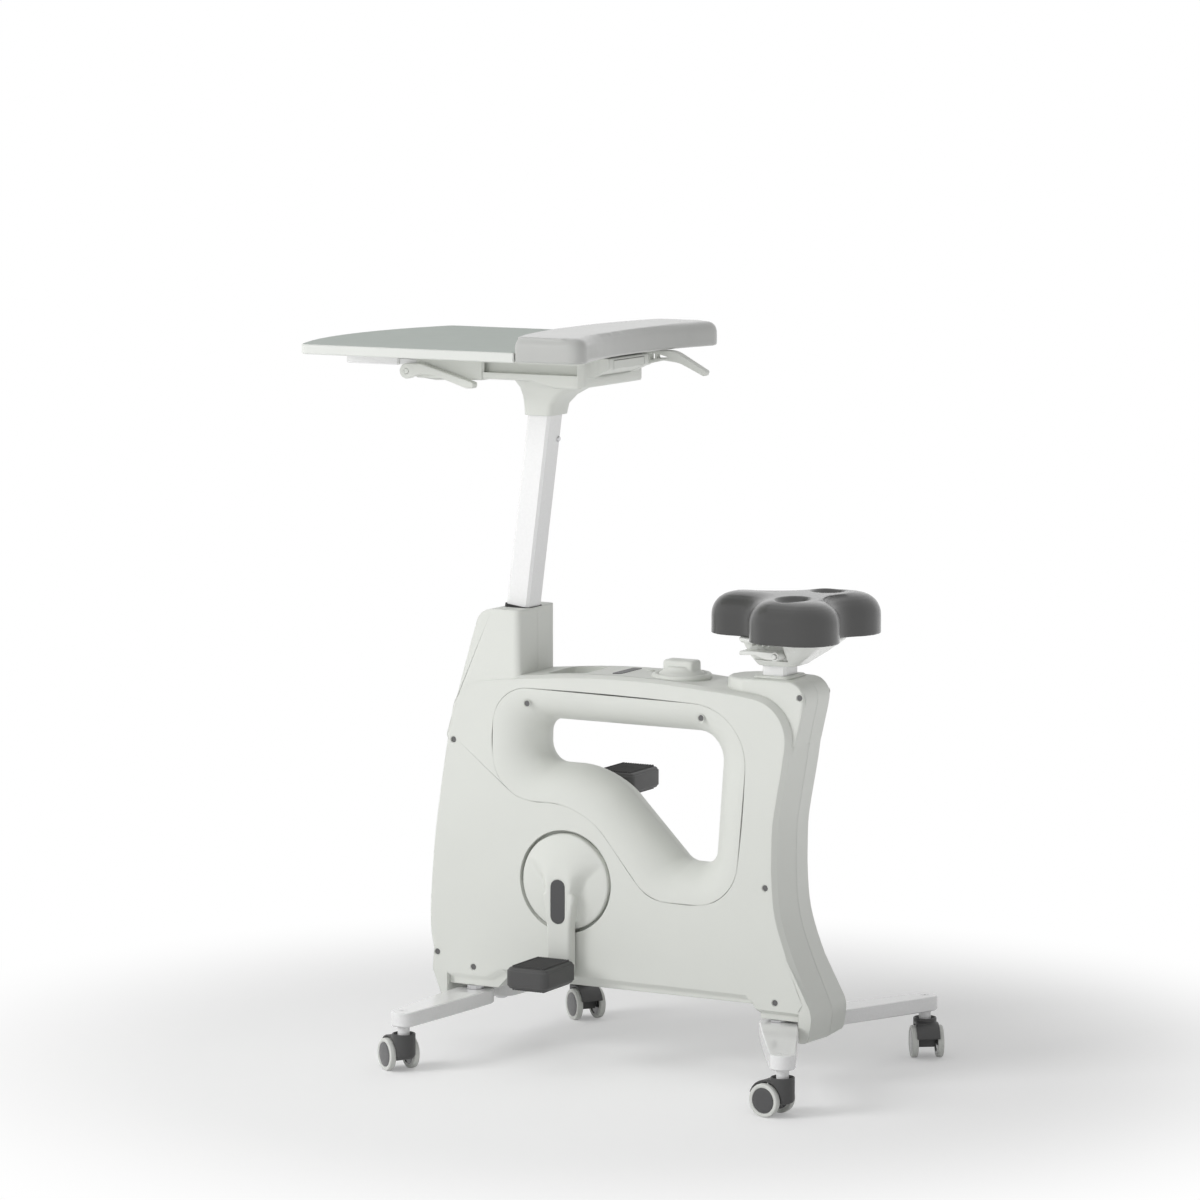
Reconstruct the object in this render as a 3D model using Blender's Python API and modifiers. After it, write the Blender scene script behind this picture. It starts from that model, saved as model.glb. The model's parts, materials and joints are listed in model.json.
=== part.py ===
"""Desk exercise bike: a pedal bike on casters with a height-adjustable seat and desk.

X is to the rider's right, Y is forward from the seat to the desk, Z is up.
Sizes are in metres. Side outlines are lists of (y, z, radius) corners.
"""

import math

import bmesh
import bpy
from mathutils import Matrix, Vector

# Fits
GAP = 0.0003
SLIDE_FIT = 0.0005
WALL = 0.0025
# How far the middle between the casters lies behind the middle of the whole bike
BASE_SHIFT_Y = -0.094

# Base: casters and legs
CASTER_X = 0.244
CASTER_Y = 0.321
WHEEL_RADIUS = 0.025
WHEEL_WIDTH = 0.0095
WHEEL_INNER_FACE = 0.015
CASTER_TRAIL = 0.0185
CASTER_BOSS_RADIUS = 0.018
CASTER_BOSS_TOP = 0.059
CASTER_BOSS_BOTTOM = 0.020
CASTER_STEM_RADIUS = 0.0055
CASTER_STEM_LENGTH = 0.026
CASTER_AXLE_RADIUS = 0.004
FENDER_THICKNESS = 0.003
FENDER_WIDTH = 0.036
CASTER_TURNS = {"front_left": 56.0, "front_right": 233.0, "rear_left": 81.5, "rear_right": 213.5}
# How far back the front right leg stands in the photo, in degrees
FRONT_RIGHT_SWING = 11.0
LEG_BOTTOM = 0.071
LEG_THICKNESS = 0.022
LEG_ROOT_RADIUS = 0.029
LEG_TIP_RADIUS = 0.019
LEG_COLLAR_RADIUS = 0.0095
LEG_EDGE = 0.0015
FRONT_PIVOT = (0.0405, 0.313)
REAR_PIVOT = (0.0405, -0.212)
PIVOT_RADIUS = 0.005
PIVOT_HEAD_RADIUS = 0.0095
PIVOT_HEAD_HEIGHT = 0.006
SPACER_RADIUS = 0.0135
SPACER_THICKNESS = 0.004

# Body casing
PANEL_X = 0.060
PANEL_EDGE = 0.003
SHOULDER = 0.006
SHOULDER_X = 0.0505
TURRET_X = 0.057
HOUSING_X = 0.0455
REAR_LIP_Z = 0.097
FRONT_LIP_Z = 0.100
BELLY_Z = 0.118
TAIL_Z = 0.067
TOE_Z = 0.078
TURRET_REAR = 0.224
TURRET_TOP = 0.689
HOUSING_TOP = 0.609
HOUSING_FRONT = -0.110
BOW = 0.006
DECK_REAR = -0.092
DECK_THICKNESS = 0.004
SCREW_RECESS_RADIUS = 0.005
SCREW_RECESS_DEPTH = 0.0016

# Top console
POCKET_CENTRE = (0.0, 0.152)
POCKET_HALF = (0.042, 0.034)
POCKET_DEPTH = 0.025
DISPLAY_HALF = (0.035, 0.008)
DISPLAY_Y = 0.068
BUTTON_CENTRE = (0.018, 0.037)
BUTTON_RADIUS = 0.006
BUTTON_TRAVEL = 0.0015
KNOB_Y = -0.026
KNOB_BASE_RADIUS = 0.044
KNOB_BASE_SIDES = 20
KNOB_SEAT = 0.0035
KNOB_GRIP = (0.030, 0.050, 0.0265)
KNOB_SKIRT_RADIUS = 0.029
KNOB_SHAFT_RADIUS = 0.004

# Drive
CRANK_Y = 0.143
CRANK_Z = 0.278
CRANK_LENGTH = 0.131
CRANK_AXLE_RADIUS = 0.010
CRANK_DISC_RADIUS = 0.074
RECESS_RADIUS = 0.079
RECESS_FLOOR_X = 0.046
CRANK_ARM_INNER_X = 0.064
CRANK_ARM_OUTER_X = 0.084
CRANK_TIP_RADIUS = 0.019
BADGE = (0.024, 0.068)
BADGE_DROP = 0.0275
PEDAL_SIZE = (0.097, 0.072, 0.035)
PEDAL_CORNER = 0.012
PEDAL_START_X = 0.088
SPINDLE_RADIUS = 0.006
FLYWHEEL_Y = -0.075
FLYWHEEL_Z = 0.222
FLYWHEEL_RADIUS = 0.064
FLYWHEEL_X = (-0.015, 0.009)
FLYWHEEL_AXLE_RADIUS = 0.006
PULLEY_X = (0.013, 0.023)
CRANK_PULLEY_RADIUS = 0.060
SMALL_PULLEY_RADIUS = 0.016
BELT_THICKNESS = 0.0022
BELT_GAP = 0.0010
MAGNET_PIN = (0.004, 0.166)
MAGNET_PIN_RADIUS = 0.004
MAGNET_AIR_GAP = 0.0035

# Frame
BEAM = (0.040, 0.026)
BEAM_BOTTOM = 0.124
PLATE_THICKNESS = 0.006
TUBE_WALL = 0.003
TUBE_CHAMFER = 0.004
SEAT_POST = (0.044, 0.040)
SEAT_POST_Y = -0.1915
SEAT_POST_Z = (0.330, 0.640)
SEAT_TUBE_TOP = 0.601
SLEEVE_WALL = 0.0024
COLUMN = (0.044, 0.039)
COLUMN_REAR_Y = 0.2293
COLUMN_RAKE = math.radians(7.4)
COLUMN_LENGTH = 0.600
OUTER_COLUMN_TOP = 0.640
GAS_CYLINDER_RADIUS = 0.014
GAS_ROD_RADIUS = 0.005

# Seat
SEAT_BOTTOM = 0.672
SEAT_HEIGHT = 0.063
SEAT_CENTRE_Y = -0.212
SEAT_TIP_Y = -0.083
SEAT_REAR_Y = -0.319
SEAT_NOSE_HALF = 0.047
SEAT_HALF_WIDTH = 0.123
SEAT_WAIST_Y = -0.171
SEAT_NOTCH_HALF = 0.052
SEAT_NOTCH_DEPTH = 0.040
DIMPLE_CENTRE = (0.069, -0.250)
DIMPLE_HALF = (0.033, 0.024, 0.008)
SEAT_PAN_BOTTOM = 0.628
SEAT_PAN_RIM = (0.062, 0.070)
SEAT_PAN_RIM_Y = -0.213
SEAT_PAN_FOOT = (0.034, 0.033)
SEAT_PAN_FOOT_Y = -0.198
SEAT_LEVER_PIVOT = (-0.050, -0.214, 0.6475)
SEAT_LEVER_HALF = 0.014
SEAT_LEVER_BARREL = 0.0070

# Desk
DESK_TOP = 1.097
DESK_MEASURED = 1.097
DESK_THICKNESS = 0.015
DESK_HALF_WIDTH = 0.227
DESK_CORNER_Y = 0.510
DESK_BOW = 0.042
DESK_CORNER_RADIUS = 0.016
PALM_TOP = DESK_TOP + 0.024
PALM_DEPTH = 0.118
PALM_REAR_Y = 0.018
PALM_CURVE = 0.040
HEAD_HALF_WIDTH = 0.100
HEAD_REAR_Y = 0.091
HEAD_FRONT_Y = 0.379
HEAD_BOTTOM = DESK_TOP - 0.0525
NOSE_FRONT_Y = 0.398
NOSE_TOP = DESK_TOP - 0.038
SLOT_Z = (DESK_TOP - 0.042, DESK_TOP - 0.027)
SLOT_Y = (0.101, 0.261)
SLOT_INNER_X = 0.088
RAIL_Z = (DESK_TOP - 0.036, DESK_TOP - 0.0275)
RAIL_X = (0.0895, 0.0945)
RAIL_Y = (0.268, 0.416)
STOP_BLOCK_Y = (0.412, 0.505)
STOP_BLOCK_BOTTOM = DESK_TOP - 0.037
FUNNEL_BOTTOM = DESK_TOP - 0.111
PADDLE_BOX_X = 0.064
HEAD_CORNER = 0.018
PADDLE_BOX_Y = 0.065
PADDLE_WIDTH = 0.096
PADDLE_PIVOT = (0.0735, DESK_TOP - 0.023)
COLUMN_TOP_REACH = (DESK_TOP - 0.055 - TURRET_TOP) / math.cos(COLUMN_RAKE)
COLUMN_SCREW = (0.014, DESK_TOP - 0.147)
LEVER_WIDTH = 0.014
LEFT_LEVER_PIVOT = (-0.110, 0.387, DESK_TOP - 0.044)
RIGHT_LEVER_PIVOT = (0.110, 0.096, DESK_TOP - 0.031)
LEVER_BOSS_RADIUS = 0.0117
RIGHT_BOSS_RADIUS = 0.009
LEVER_PIN_RADIUS = 0.004

# Side outlines of the casing as (y, z, radius) corners, anticlockwise seen from the right
PANEL_OUTLINE = [
    (0.366, 0.117, 0.016), (0.382, 0.158, 0.150), (0.375, 0.320, 0.700), (0.333, 0.572, 0.060),
    (0.060, 0.6023, 1.600), (-0.240, 0.575, 0.062), (-0.2086, 0.388, 0.250),
    (-0.2086, 0.252, 0.280), (-0.270, 0.112, 0.010), (-0.184, 0.112, 0.004),
    (-0.172, 0.131, 0.014), (0.258, 0.131, 0.016), (0.284, 0.117, 0.016),
]
PANEL_STEPS = (2, 1, 1, 4, 4, 4, 2, 2, 1, 1, 1, 1, 1)
BELLY_OUTLINE = [
    (0.352, 0.140, 0.001), (-0.252, 0.140, 0.001), (-0.252, REAR_LIP_Z, 0.001),
    (-0.187, REAR_LIP_Z, 0.001), (-0.187, BELLY_Z, 0.001), (0.250, BELLY_Z, 0.004),
    (0.266, FRONT_LIP_Z, 0.004), (0.352, FRONT_LIP_Z, 0.001),
]
TAIL_OUTLINE = [
    (-0.225, 0.192, 0.001), (-0.2345, 0.192, 0.001), (-0.2775, 0.112, 0.040),
    (-0.2705, TAIL_Z, 0.010), (-0.255, TAIL_Z, 0.002), (-0.255, 0.130, 0.001),
]
TOE_OUTLINE = [
    (0.374, 0.170, 0.001), (0.352, 0.170, 0.001), (0.352, TOE_Z, 0.002), (0.361, TOE_Z, 0.006),
    (0.378, 0.122, 0.020),
]
TURRET_OUTLINE = [
    (0.356, 0.480, 0.010), (0.293, TURRET_TOP, 0.028), (TURRET_REAR, TURRET_TOP, 0.003),
    (TURRET_REAR, 0.575, 0.002), (0.320, 0.480, 0.010),
]
TURRET_PLAN = [
    (TURRET_X, 0.400, 0.010), (-TURRET_X, 0.400, 0.010), (-TURRET_X, TURRET_REAR, 0.012),
    (TURRET_X, TURRET_REAR, 0.012),
]
HOUSING_OUTLINE = [
    (-0.080, HOUSING_TOP, 0.002), (-0.2615, HOUSING_TOP, 0.028), (-0.241, 0.515, 0.060),
    (-0.214, 0.440, 0.020), (-0.080, 0.570, 0.002),
]
HOUSING_PLAN = [
    (HOUSING_X + 0.001, HOUSING_FRONT, HOUSING_X), (-HOUSING_X - 0.001, HOUSING_FRONT, HOUSING_X),
    (-HOUSING_X - 0.001, -0.300, 0.002), (HOUSING_X + 0.001, -0.300, 0.002),
]
CONTOUR = [
    (0.268, 0.572, 0.060), (-0.172, 0.566, 0.090), (-0.146, 0.261, 0.072), (0.000, 0.261, 0.062),
    (0.112, 0.398, 0.120), (0.272, 0.397, 0.072),
]
THROAT = [
    (0.204, 0.520, 0.028), (-0.108, 0.519, 0.040), (-0.094, 0.317, 0.028), (-0.040, 0.317, 0.028),
    (0.094, 0.452, 0.130), (0.206, 0.452, 0.030),
]
CONTOUR_STEPS = (3, 4, 3, 2, 3, 3)
TRIM_STEPS = 2
TRIM_THICKNESS = 0.002
SCREWS = [
    (0.3394, 0.483), (-0.198, 0.2973), (-0.2152, 0.1246), (0.3695, 0.1486), (0.3053, 0.1303),
]
HOUSING_SCREW = (-0.2468, 0.5856)
TRIM_SCREWS = [(0.2104, 0.5474), (-0.0887, 0.5462)]

WHITE = ("off_white_plastic", (0.79, 0.80, 0.76), 0.45, 0.0)
PAINT = ("white_paint", (0.86, 0.86, 0.86), 0.25, 0.0)
CHARCOAL = ("charcoal_pad", (0.075, 0.075, 0.072), 0.60, 0.0)
DARK = ("dark_plastic", (0.060, 0.060, 0.060), 0.45, 0.0)
GREY_PAD = ("grey_pad", (0.55, 0.55, 0.54), 0.60, 0.0)
DESK_GREY = ("desk_grey", (0.60, 0.64, 0.60), 0.55, 0.0)
STEEL = ("steel", (0.60, 0.60, 0.62), 0.35, 1.0)
RUBBER = ("black_rubber", (0.03, 0.03, 0.03), 0.80, 0.0)
TYRE = ("light_tyre", (0.70, 0.71, 0.68), 0.50, 0.0)


def clear_scene():
    """Remove the startup objects and make the collection that holds the bike."""
    for obj in list(bpy.data.objects):
        bpy.data.objects.remove(obj)
    parts = bpy.data.collections.new("desk_exercise_bike")
    bpy.context.scene.collection.children.link(parts)
    return parts


PARTS = clear_scene()
ORIGIN = bpy.data.objects.new("bike_origin", None)
ORIGIN.location = (0.0, BASE_SHIFT_Y, 0.0)
PARTS.objects.link(ORIGIN)


# Small tools for shaping

def material(spec):
    """A Principled material from a (name, colour, roughness, metallic) tuple."""
    name, colour, roughness, metallic = spec
    found = bpy.data.materials.get(name)
    if found:
        return found
    made = bpy.data.materials.new(name)
    made.use_nodes = True
    shader = made.node_tree.nodes["Principled BSDF"]
    shader.inputs["Base Color"].default_value = (*colour, 1.0)
    shader.inputs["Roughness"].default_value = roughness
    shader.inputs["Metallic"].default_value = metallic
    return made


def mesh_object(bm, name="shape"):
    """Put a bmesh into the scene as a loose object with its normals outwards."""
    bmesh.ops.recalc_face_normals(bm, faces=bm.faces)
    mesh = bpy.data.meshes.new(name)
    bm.to_mesh(mesh)
    bm.free()
    obj = bpy.data.objects.new(name, mesh)
    PARTS.objects.link(obj)
    return obj


def merge_flats(obj):
    """Merge neighbouring faces that lie flat and drop the points left along straight edges."""
    bm = bmesh.new()
    bm.from_mesh(obj.data)
    bmesh.ops.remove_doubles(bm, verts=bm.verts, dist=0.00001)
    bmesh.ops.dissolve_limit(bm, angle_limit=math.radians(0.3), verts=bm.verts, edges=bm.edges)
    bm.to_mesh(obj.data)
    bm.free()


def finish(obj, name, spec, origin=(0.0, 0.0, 0.0), smooth=True):
    """Name a finished piece, give it its material and set its origin on its own axis."""
    merge_flats(obj)
    obj.name = name
    obj.data.name = name
    obj.data.materials.clear()
    obj.data.materials.append(material(spec))
    obj.data.transform(Matrix.Translation(-Vector(origin)))
    obj.location = origin
    obj.parent = ORIGIN
    if smooth:
        obj.data.shade_smooth()
        obj.data.set_sharp_from_angle(angle=math.radians(35))
    return obj


def apply_modifiers(obj):
    """Swap an object's mesh for its evaluated one and drop the modifiers."""
    bpy.context.view_layer.update()
    graph = bpy.context.evaluated_depsgraph_get()
    mesh = bpy.data.meshes.new_from_object(obj.evaluated_get(graph))
    obj.modifiers.clear()
    obj.data = mesh
    return obj


def combine(obj, others, operation):
    """Join or cut a piece with each of the others, which are used up."""
    for other in others:
        modifier = obj.modifiers.new(operation.lower(), "BOOLEAN")
        modifier.operation = operation
        modifier.object = other
        apply_modifiers(obj)
        bpy.data.objects.remove(other)
    return obj


def unite(obj, *others):
    return combine(obj, others, "UNION")


def carve(obj, *others):
    return combine(obj, others, "DIFFERENCE")


def keep(obj, *others):
    return combine(obj, others, "INTERSECT")


def box(low, high, edge=0.0):
    """A box between two corners, with its edges taken off by the given width."""
    bm = bmesh.new()
    bmesh.ops.create_cube(bm, size=1.0)
    size = Vector(high) - Vector(low)
    bmesh.ops.scale(bm, vec=size, verts=bm.verts)
    bmesh.ops.translate(bm, vec=(Vector(low) + Vector(high)) / 2, verts=bm.verts)
    if edge:
        bmesh.ops.bevel(bm, geom=bm.edges, offset=edge, segments=1, affect="EDGES", profile=0.5)
    return mesh_object(bm)


def rod(start, end, radius, sides=24, end_radius=None):
    """A round bar, or a cone, between two points."""
    bm = bmesh.new()
    along = Vector(end) - Vector(start)
    bmesh.ops.create_cone(
        bm, cap_ends=True, segments=sides, radius1=radius,
        radius2=radius if end_radius is None else end_radius, depth=along.length)
    turn = along.to_track_quat("Z", "Y").to_matrix().to_4x4()
    place = Matrix.Translation((Vector(start) + Vector(end)) / 2) @ turn
    bmesh.ops.transform(bm, matrix=place, verts=bm.verts)
    return mesh_object(bm)


def rounded(corners, steps=4):
    """Points along a closed outline whose (a, b, radius) corners become arcs.

    Steps is one count for all corners, or one for each.
    """
    points = []
    count = len(corners)
    for i, (a, b, radius) in enumerate(corners):
        here = Vector((a, b))
        before = Vector(corners[i - 1][:2]) - here
        after = Vector(corners[(i + 1) % count][:2]) - here
        half = before.angle(after) / 2
        reach = radius / math.tan(half)
        start = here + before.normalized() * reach
        bisector = (before.normalized() + after.normalized()).normalized()
        centre = here + bisector * radius / math.sin(half)
        first = start - centre
        sweep = (math.pi - 2 * half) * (1 if before.cross(after) < 0 else -1)
        arcs = steps if isinstance(steps, int) else steps[i]
        for step in range(arcs + 1):
            angle = sweep * step / arcs
            spun = Vector((first.x * math.cos(angle) - first.y * math.sin(angle),
                           first.x * math.sin(angle) + first.y * math.cos(angle)))
            points.append(centre + spun)
    return points


def inset(corners, distance):
    """The same corners moved inwards by a wall's thickness."""
    moved = []
    count = len(corners)
    for i, (a, b, radius) in enumerate(corners):
        here = Vector((a, b))
        into = (here - Vector(corners[i - 1][:2])).normalized()
        out = (Vector(corners[(i + 1) % count][:2]) - here).normalized()
        turn = into.cross(out)
        normal_in = Vector((-into.y, into.x))
        normal_out = Vector((-out.y, out.x))
        shift = (normal_in + normal_out) * distance / (1 + normal_in.dot(normal_out))
        grown = radius - distance if turn > 0 else radius + distance
        moved.append((here.x + shift.x, here.y + shift.y, max(grown, 0.0005)))
    return moved


def loft(rings, axis="Z"):
    """A solid through outlines of equal count, given as (points, level) rings, capped at both ends."""
    order = {"X": (2, 0, 1), "Y": (0, 2, 1), "Z": (0, 1, 2)}[axis]
    bm = bmesh.new()
    loops = []
    for points, level in rings:
        spots = [(a, b, level) for a, b in points]
        verts = [bm.verts.new([spot[i] for i in order]) for spot in spots]
        loops.append([bm.edges.new(pair) for pair in zip(verts, verts[1:] + verts[:1])])
    for first, second in zip(loops, loops[1:]):
        bmesh.ops.bridge_loops(bm, edges=first + second)
    bmesh.ops.holes_fill(bm, edges=loops[0] + loops[-1], sides=0)
    return mesh_object(bm)


def stack(corners, rings, axis="X", steps=4):
    """A solid through one cornered outline, given as (inset, level) rings."""
    return loft([(rounded(inset(corners, distance), steps), level) for distance, level in rings], axis)


def soft_edge(level, radius, way):
    """Rings that round an edge, from its flat face at a level back to the full outline."""
    return [(radius, level), (radius * 0.3, level + way * radius * 0.3), (0.0, level + way * radius)]


def rectangle(centre, half, radius):
    """The corners of a rounded rectangle."""
    (a, b), (c, d) = centre, half
    return [(a + c, b + d, radius), (a - c, b + d, radius), (a - c, b - d, radius),
            (a + c, b - d, radius)]


def plate(loops, low, high, axis="X"):
    """A flat outline, with any holes, drawn as a 2D curve and extruded between two levels."""
    curve = bpy.data.curves.new("outline", "CURVE")
    curve.dimensions = "2D"
    curve.fill_mode = "BOTH"
    curve.extrude = (high - low) / 2
    for loop in loops:
        spline = curve.splines.new("POLY")
        spline.points.add(len(loop) - 1)
        for point, (a, b) in zip(spline.points, loop):
            point.co = (a, b, 0.0, 1.0)
        spline.use_cyclic_u = True
    drawn = bpy.data.objects.new("outline", curve)
    PARTS.objects.link(drawn)
    bpy.context.view_layer.update()
    graph = bpy.context.evaluated_depsgraph_get()
    mesh = bpy.data.meshes.new_from_object(drawn.evaluated_get(graph))
    bpy.data.objects.remove(drawn)
    bm = bmesh.new()
    bm.from_mesh(mesh)
    bpy.data.meshes.remove(mesh)
    bmesh.ops.remove_doubles(bm, verts=bm.verts, dist=0.00001)
    stand = {
        "X": Matrix(((0, 0, 1), (1, 0, 0), (0, 1, 0))),
        "Y": Matrix(((1, 0, 0), (0, 0, 1), (0, 1, 0))),
        "Z": Matrix.Identity(3),
    }[axis].to_4x4()
    level = Vector([(high + low) / 2 if letter == axis else 0.0 for letter in "XYZ"])
    bmesh.ops.transform(bm, matrix=Matrix.Translation(level) @ stand, verts=bm.verts)
    return mesh_object(bm)


def turned(profile, centre, sides=24):
    """A turned solid from (radius, height) points, top to bottom, spun about the Z axis."""
    bm = bmesh.new()
    ring = [bm.verts.new((radius, 0.0, height)) for radius, height in profile]
    edges = [bm.edges.new((a, b)) for a, b in zip(ring, ring[1:]) if a.co.x > 0 or b.co.x > 0]
    bmesh.ops.spin(
        bm, geom=ring + edges, cent=(0, 0, 0), axis=(0, 0, 1), angle=2 * math.pi,
        steps=sides, use_merge=True)
    bmesh.ops.remove_doubles(bm, verts=bm.verts, dist=0.00001)
    bmesh.ops.translate(bm, vec=centre, verts=bm.verts)
    return mesh_object(bm)


def bar_outline(start, start_radius, end, end_radius, steps=6):
    """The outline of a tapered bar with round ends, as a belt lies round two pulleys."""
    start, end = Vector(start), Vector(end)
    along = end - start
    heading = math.atan2(along.y, along.x)
    lean = math.acos((start_radius - end_radius) / along.length)
    points = []
    for centre, radius, first, last in (
            (end, end_radius, -lean, lean),
            (start, start_radius, lean, 2 * math.pi - lean)):
        for step in range(steps + 1):
            angle = heading + first + (last - first) * step / steps
            points.append(centre + Vector((math.cos(angle), math.sin(angle))) * radius)
    return points


def circle(centre, radius, sides=24):
    """Points round a circle, for a hole in a plate."""
    return [Vector(centre) + Vector((math.cos(a), math.sin(a))) * radius
            for a in (2 * math.pi * i / sides for i in range(sides))]


def mirrored(obj):
    """A copy of a left-hand piece for the right-hand side."""
    bm = bmesh.new()
    bm.from_mesh(obj.data)
    bmesh.ops.scale(bm, vec=(-1, 1, 1), verts=bm.verts)
    bmesh.ops.reverse_faces(bm, faces=bm.faces)
    mesh = bpy.data.meshes.new("right")
    bm.to_mesh(mesh)
    bm.free()
    copy = bpy.data.objects.new("right", mesh)
    PARTS.objects.link(copy)
    return copy


def chamfered_tube(size, low, high, grow=0.0):
    """A square bar with chamfered corners, standing about the Z axis."""
    half_x = size[0] / 2 + grow
    half_y = size[1] / 2 + grow
    cut = TUBE_CHAMFER + grow * (2 - math.sqrt(2))
    outline = [
        (half_x, half_y - cut), (half_x - cut, half_y), (cut - half_x, half_y),
        (-half_x, half_y - cut), (-half_x, cut - half_y), (cut - half_x, -half_y),
        (half_x - cut, -half_y), (half_x, cut - half_y),
    ]
    return plate([outline], low, high, "Z")


def on_column(obj):
    """Move a shape modelled about the Z axis onto the raked column.

    Height zero of the shape lies at the top of the turret.
    """
    centre_y = COLUMN_REAR_Y + COLUMN[1] / 2 / math.cos(COLUMN_RAKE)
    place = Matrix.Translation((0, centre_y, TURRET_TOP)) @ Matrix.Rotation(COLUMN_RAKE, 4, "X")
    obj.data.transform(place)
    return obj


def on_head(obj):
    """Move a piece of the head to where the raked column carries it at the desk's height."""
    obj.data.transform(Matrix.Translation((0, (DESK_MEASURED - DESK_TOP) * math.tan(COLUMN_RAKE), 0)))
    return obj


def column_y(z):
    """Where the column's axis lies at a height."""
    centre_y = COLUMN_REAR_Y + COLUMN[1] / 2 / math.cos(COLUMN_RAKE)
    return centre_y - (z - TURRET_TOP) * math.tan(COLUMN_RAKE)


# Casing

def bowed(obj):
    """Bow the rear and front faces of the body out towards the middle seam."""
    for vertex in obj.data.vertices:
        if vertex.co.x > -0.001:
            vertex.co.y += BOW * (-1.0 if vertex.co.y < 0.07 else 0.35)
    return obj


def half_body(shrink):
    """The left half of the body as one solid, smaller by a wall's thickness where asked."""
    middle = 0.005 if shrink else 0.0
    shoulder = stack(PANEL_OUTLINE, [
        (shrink, shrink - PANEL_X + (0.0 if shrink else 0.0005)), (shrink - SHOULDER, shrink - SHOULDER_X),
        (shrink - SHOULDER, middle)], "X", PANEL_STEPS)
    bowed(shoulder)
    belly = plate([rounded(inset(BELLY_OUTLINE, shrink), 2)], shrink - SHOULDER_X, middle)
    turret = plate([rounded(inset(TURRET_OUTLINE, shrink), 3)], -0.070, 0.010)
    keep(turret, plate([rounded(inset(TURRET_PLAN, shrink), 3)], 0.400, 0.700, "Z"))
    housing = stack(HOUSING_OUTLINE, [
        (d + shrink, x) for d, x in soft_edge(shrink - HOUSING_X, 0.005, 1)] + [(shrink, 0.010)],
        "X", 3)
    keep(housing, stack(HOUSING_PLAN, [
        (d + shrink, z) for d, z in soft_edge(HOUSING_TOP + (0.002 if shrink else 0.0001), 0.005, -1)]
        + [(shrink, 0.400)], "Z", 3))
    return unite(shoulder, belly, turret, housing)


def shell_openings():
    """Everything that is cut out of the left shell once it is hollow."""
    contour = plate([rounded(inset(CONTOUR, -GAP), CONTOUR_STEPS)], -0.070, -0.0495)
    deck = box((-SHOULDER_X - GAP, DECK_REAR - GAP, 0.570), (0.010, TURRET_REAR - GAP, 0.640))
    rear_foot = box((-0.0455, -0.2486, 0.090), (0.010, -0.1905, 0.106))
    front_foot = box((-0.0455, 0.2725, 0.090), (0.010, 0.3486, 0.108))
    column = on_column(chamfered_tube(COLUMN, -0.020, 0.020, SLEEVE_WALL + 0.0004))
    post = chamfered_tube(SEAT_POST, SEAT_TUBE_TOP - 0.011, HOUSING_TOP + 0.011,
                          SLEEVE_WALL + 0.0004)
    post.data.transform(Matrix.Translation((0, SEAT_POST_Y, 0)))
    return [contour, deck, rear_foot, front_foot, column, post]


def screw_recesses(places, x):
    """Shallow round recesses for the casing screws."""
    return [rod((x + SCREW_RECESS_DEPTH, y, z), (x - 0.01, y, z), SCREW_RECESS_RADIUS, 8)
            for y, z in places]


def left_shell():
    """Half of the body casing: a hollow shell with the crank cup, window and leg openings."""
    shell = half_body(0.0)
    unite(shell, stack(PANEL_OUTLINE, soft_edge(-PANEL_X, PANEL_EDGE, 1) + [(0.0, -0.048)], "X", PANEL_STEPS))
    carve(shell, half_body(WALL))
    tail = bowed(plate([rounded(TAIL_OUTLINE, 4)], 0.0001 - PANEL_X, 0.0))
    toe = bowed(plate([rounded(TOE_OUTLINE, 3)], 0.0001 - PANEL_X, 0.0))
    cup_back = rod((WALL - RECESS_FLOOR_X, CRANK_Y, CRANK_Z), (0.001 - PANEL_X, CRANK_Y, CRANK_Z),
                   RECESS_RADIUS + WALL, 26)
    unite(shell, tail, toe, cup_back)
    cup = rod((-RECESS_FLOOR_X, CRANK_Y, CRANK_Z), (-0.080, CRANK_Y, CRANK_Z), RECESS_RADIUS, 26)
    bore = rod((0.010, CRANK_Y, CRANK_Z), (-0.080, CRANK_Y, CRANK_Z), 0.016, 14)
    carve(shell, cup, bore, *shell_openings())
    carve(shell, *screw_recesses(SCREWS, -PANEL_X))
    carve(shell, *screw_recesses([HOUSING_SCREW], -HOUSING_X))
    return keep(shell, box((-0.200, -0.500, 0.0), (-GAP / 2, 0.600, 0.900)))


def left_trim():
    """Dished surround of the handle window, from the panel's face in to the throat."""
    outer = rounded(CONTOUR, CONTOUR_STEPS)
    inner = rounded(THROAT, CONTOUR_STEPS)
    bm = bmesh.new()
    rings = []
    for step in range(TRIM_STEPS + 2):
        angle = math.pi / 2 * min(step / TRIM_STEPS, 1.0)
        x = -PANEL_X * math.cos(angle) + (0.004 if step > TRIM_STEPS else 0.0)
        share = 1 - math.sin(angle)
        verts = [bm.verts.new((x, *(b + (a - b) * share))) for a, b in zip(outer, inner)]
        rings.append([bm.edges.new(pair) for pair in zip(verts, verts[1:] + verts[:1])])
    for first, second in zip(rings, rings[1:]):
        bmesh.ops.bridge_loops(bm, edges=first + second)
    trim = mesh_object(bm)
    wall = trim.modifiers.new("wall", "SOLIDIFY")
    wall.thickness = TRIM_THICKNESS
    wall.offset = -1.0
    wall.use_even_offset = True
    apply_modifiers(trim)
    keep(trim, plate([rounded(inset(CONTOUR, -0.00005), CONTOUR_STEPS)], -0.061, -GAP / 2))
    return carve(trim, *screw_recesses(TRIM_SCREWS, 0.001 - PANEL_X))


def casing():
    """Both shells and both window trims."""
    shell = left_shell()
    other = mirrored(shell)
    finish(shell, "left_shell", WHITE)
    finish(other, "right_shell", WHITE)
    trim = left_trim()
    other = mirrored(trim)
    finish(trim, "left_window_trim", WHITE)
    finish(other, "right_window_trim", WHITE)


# Console

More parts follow.
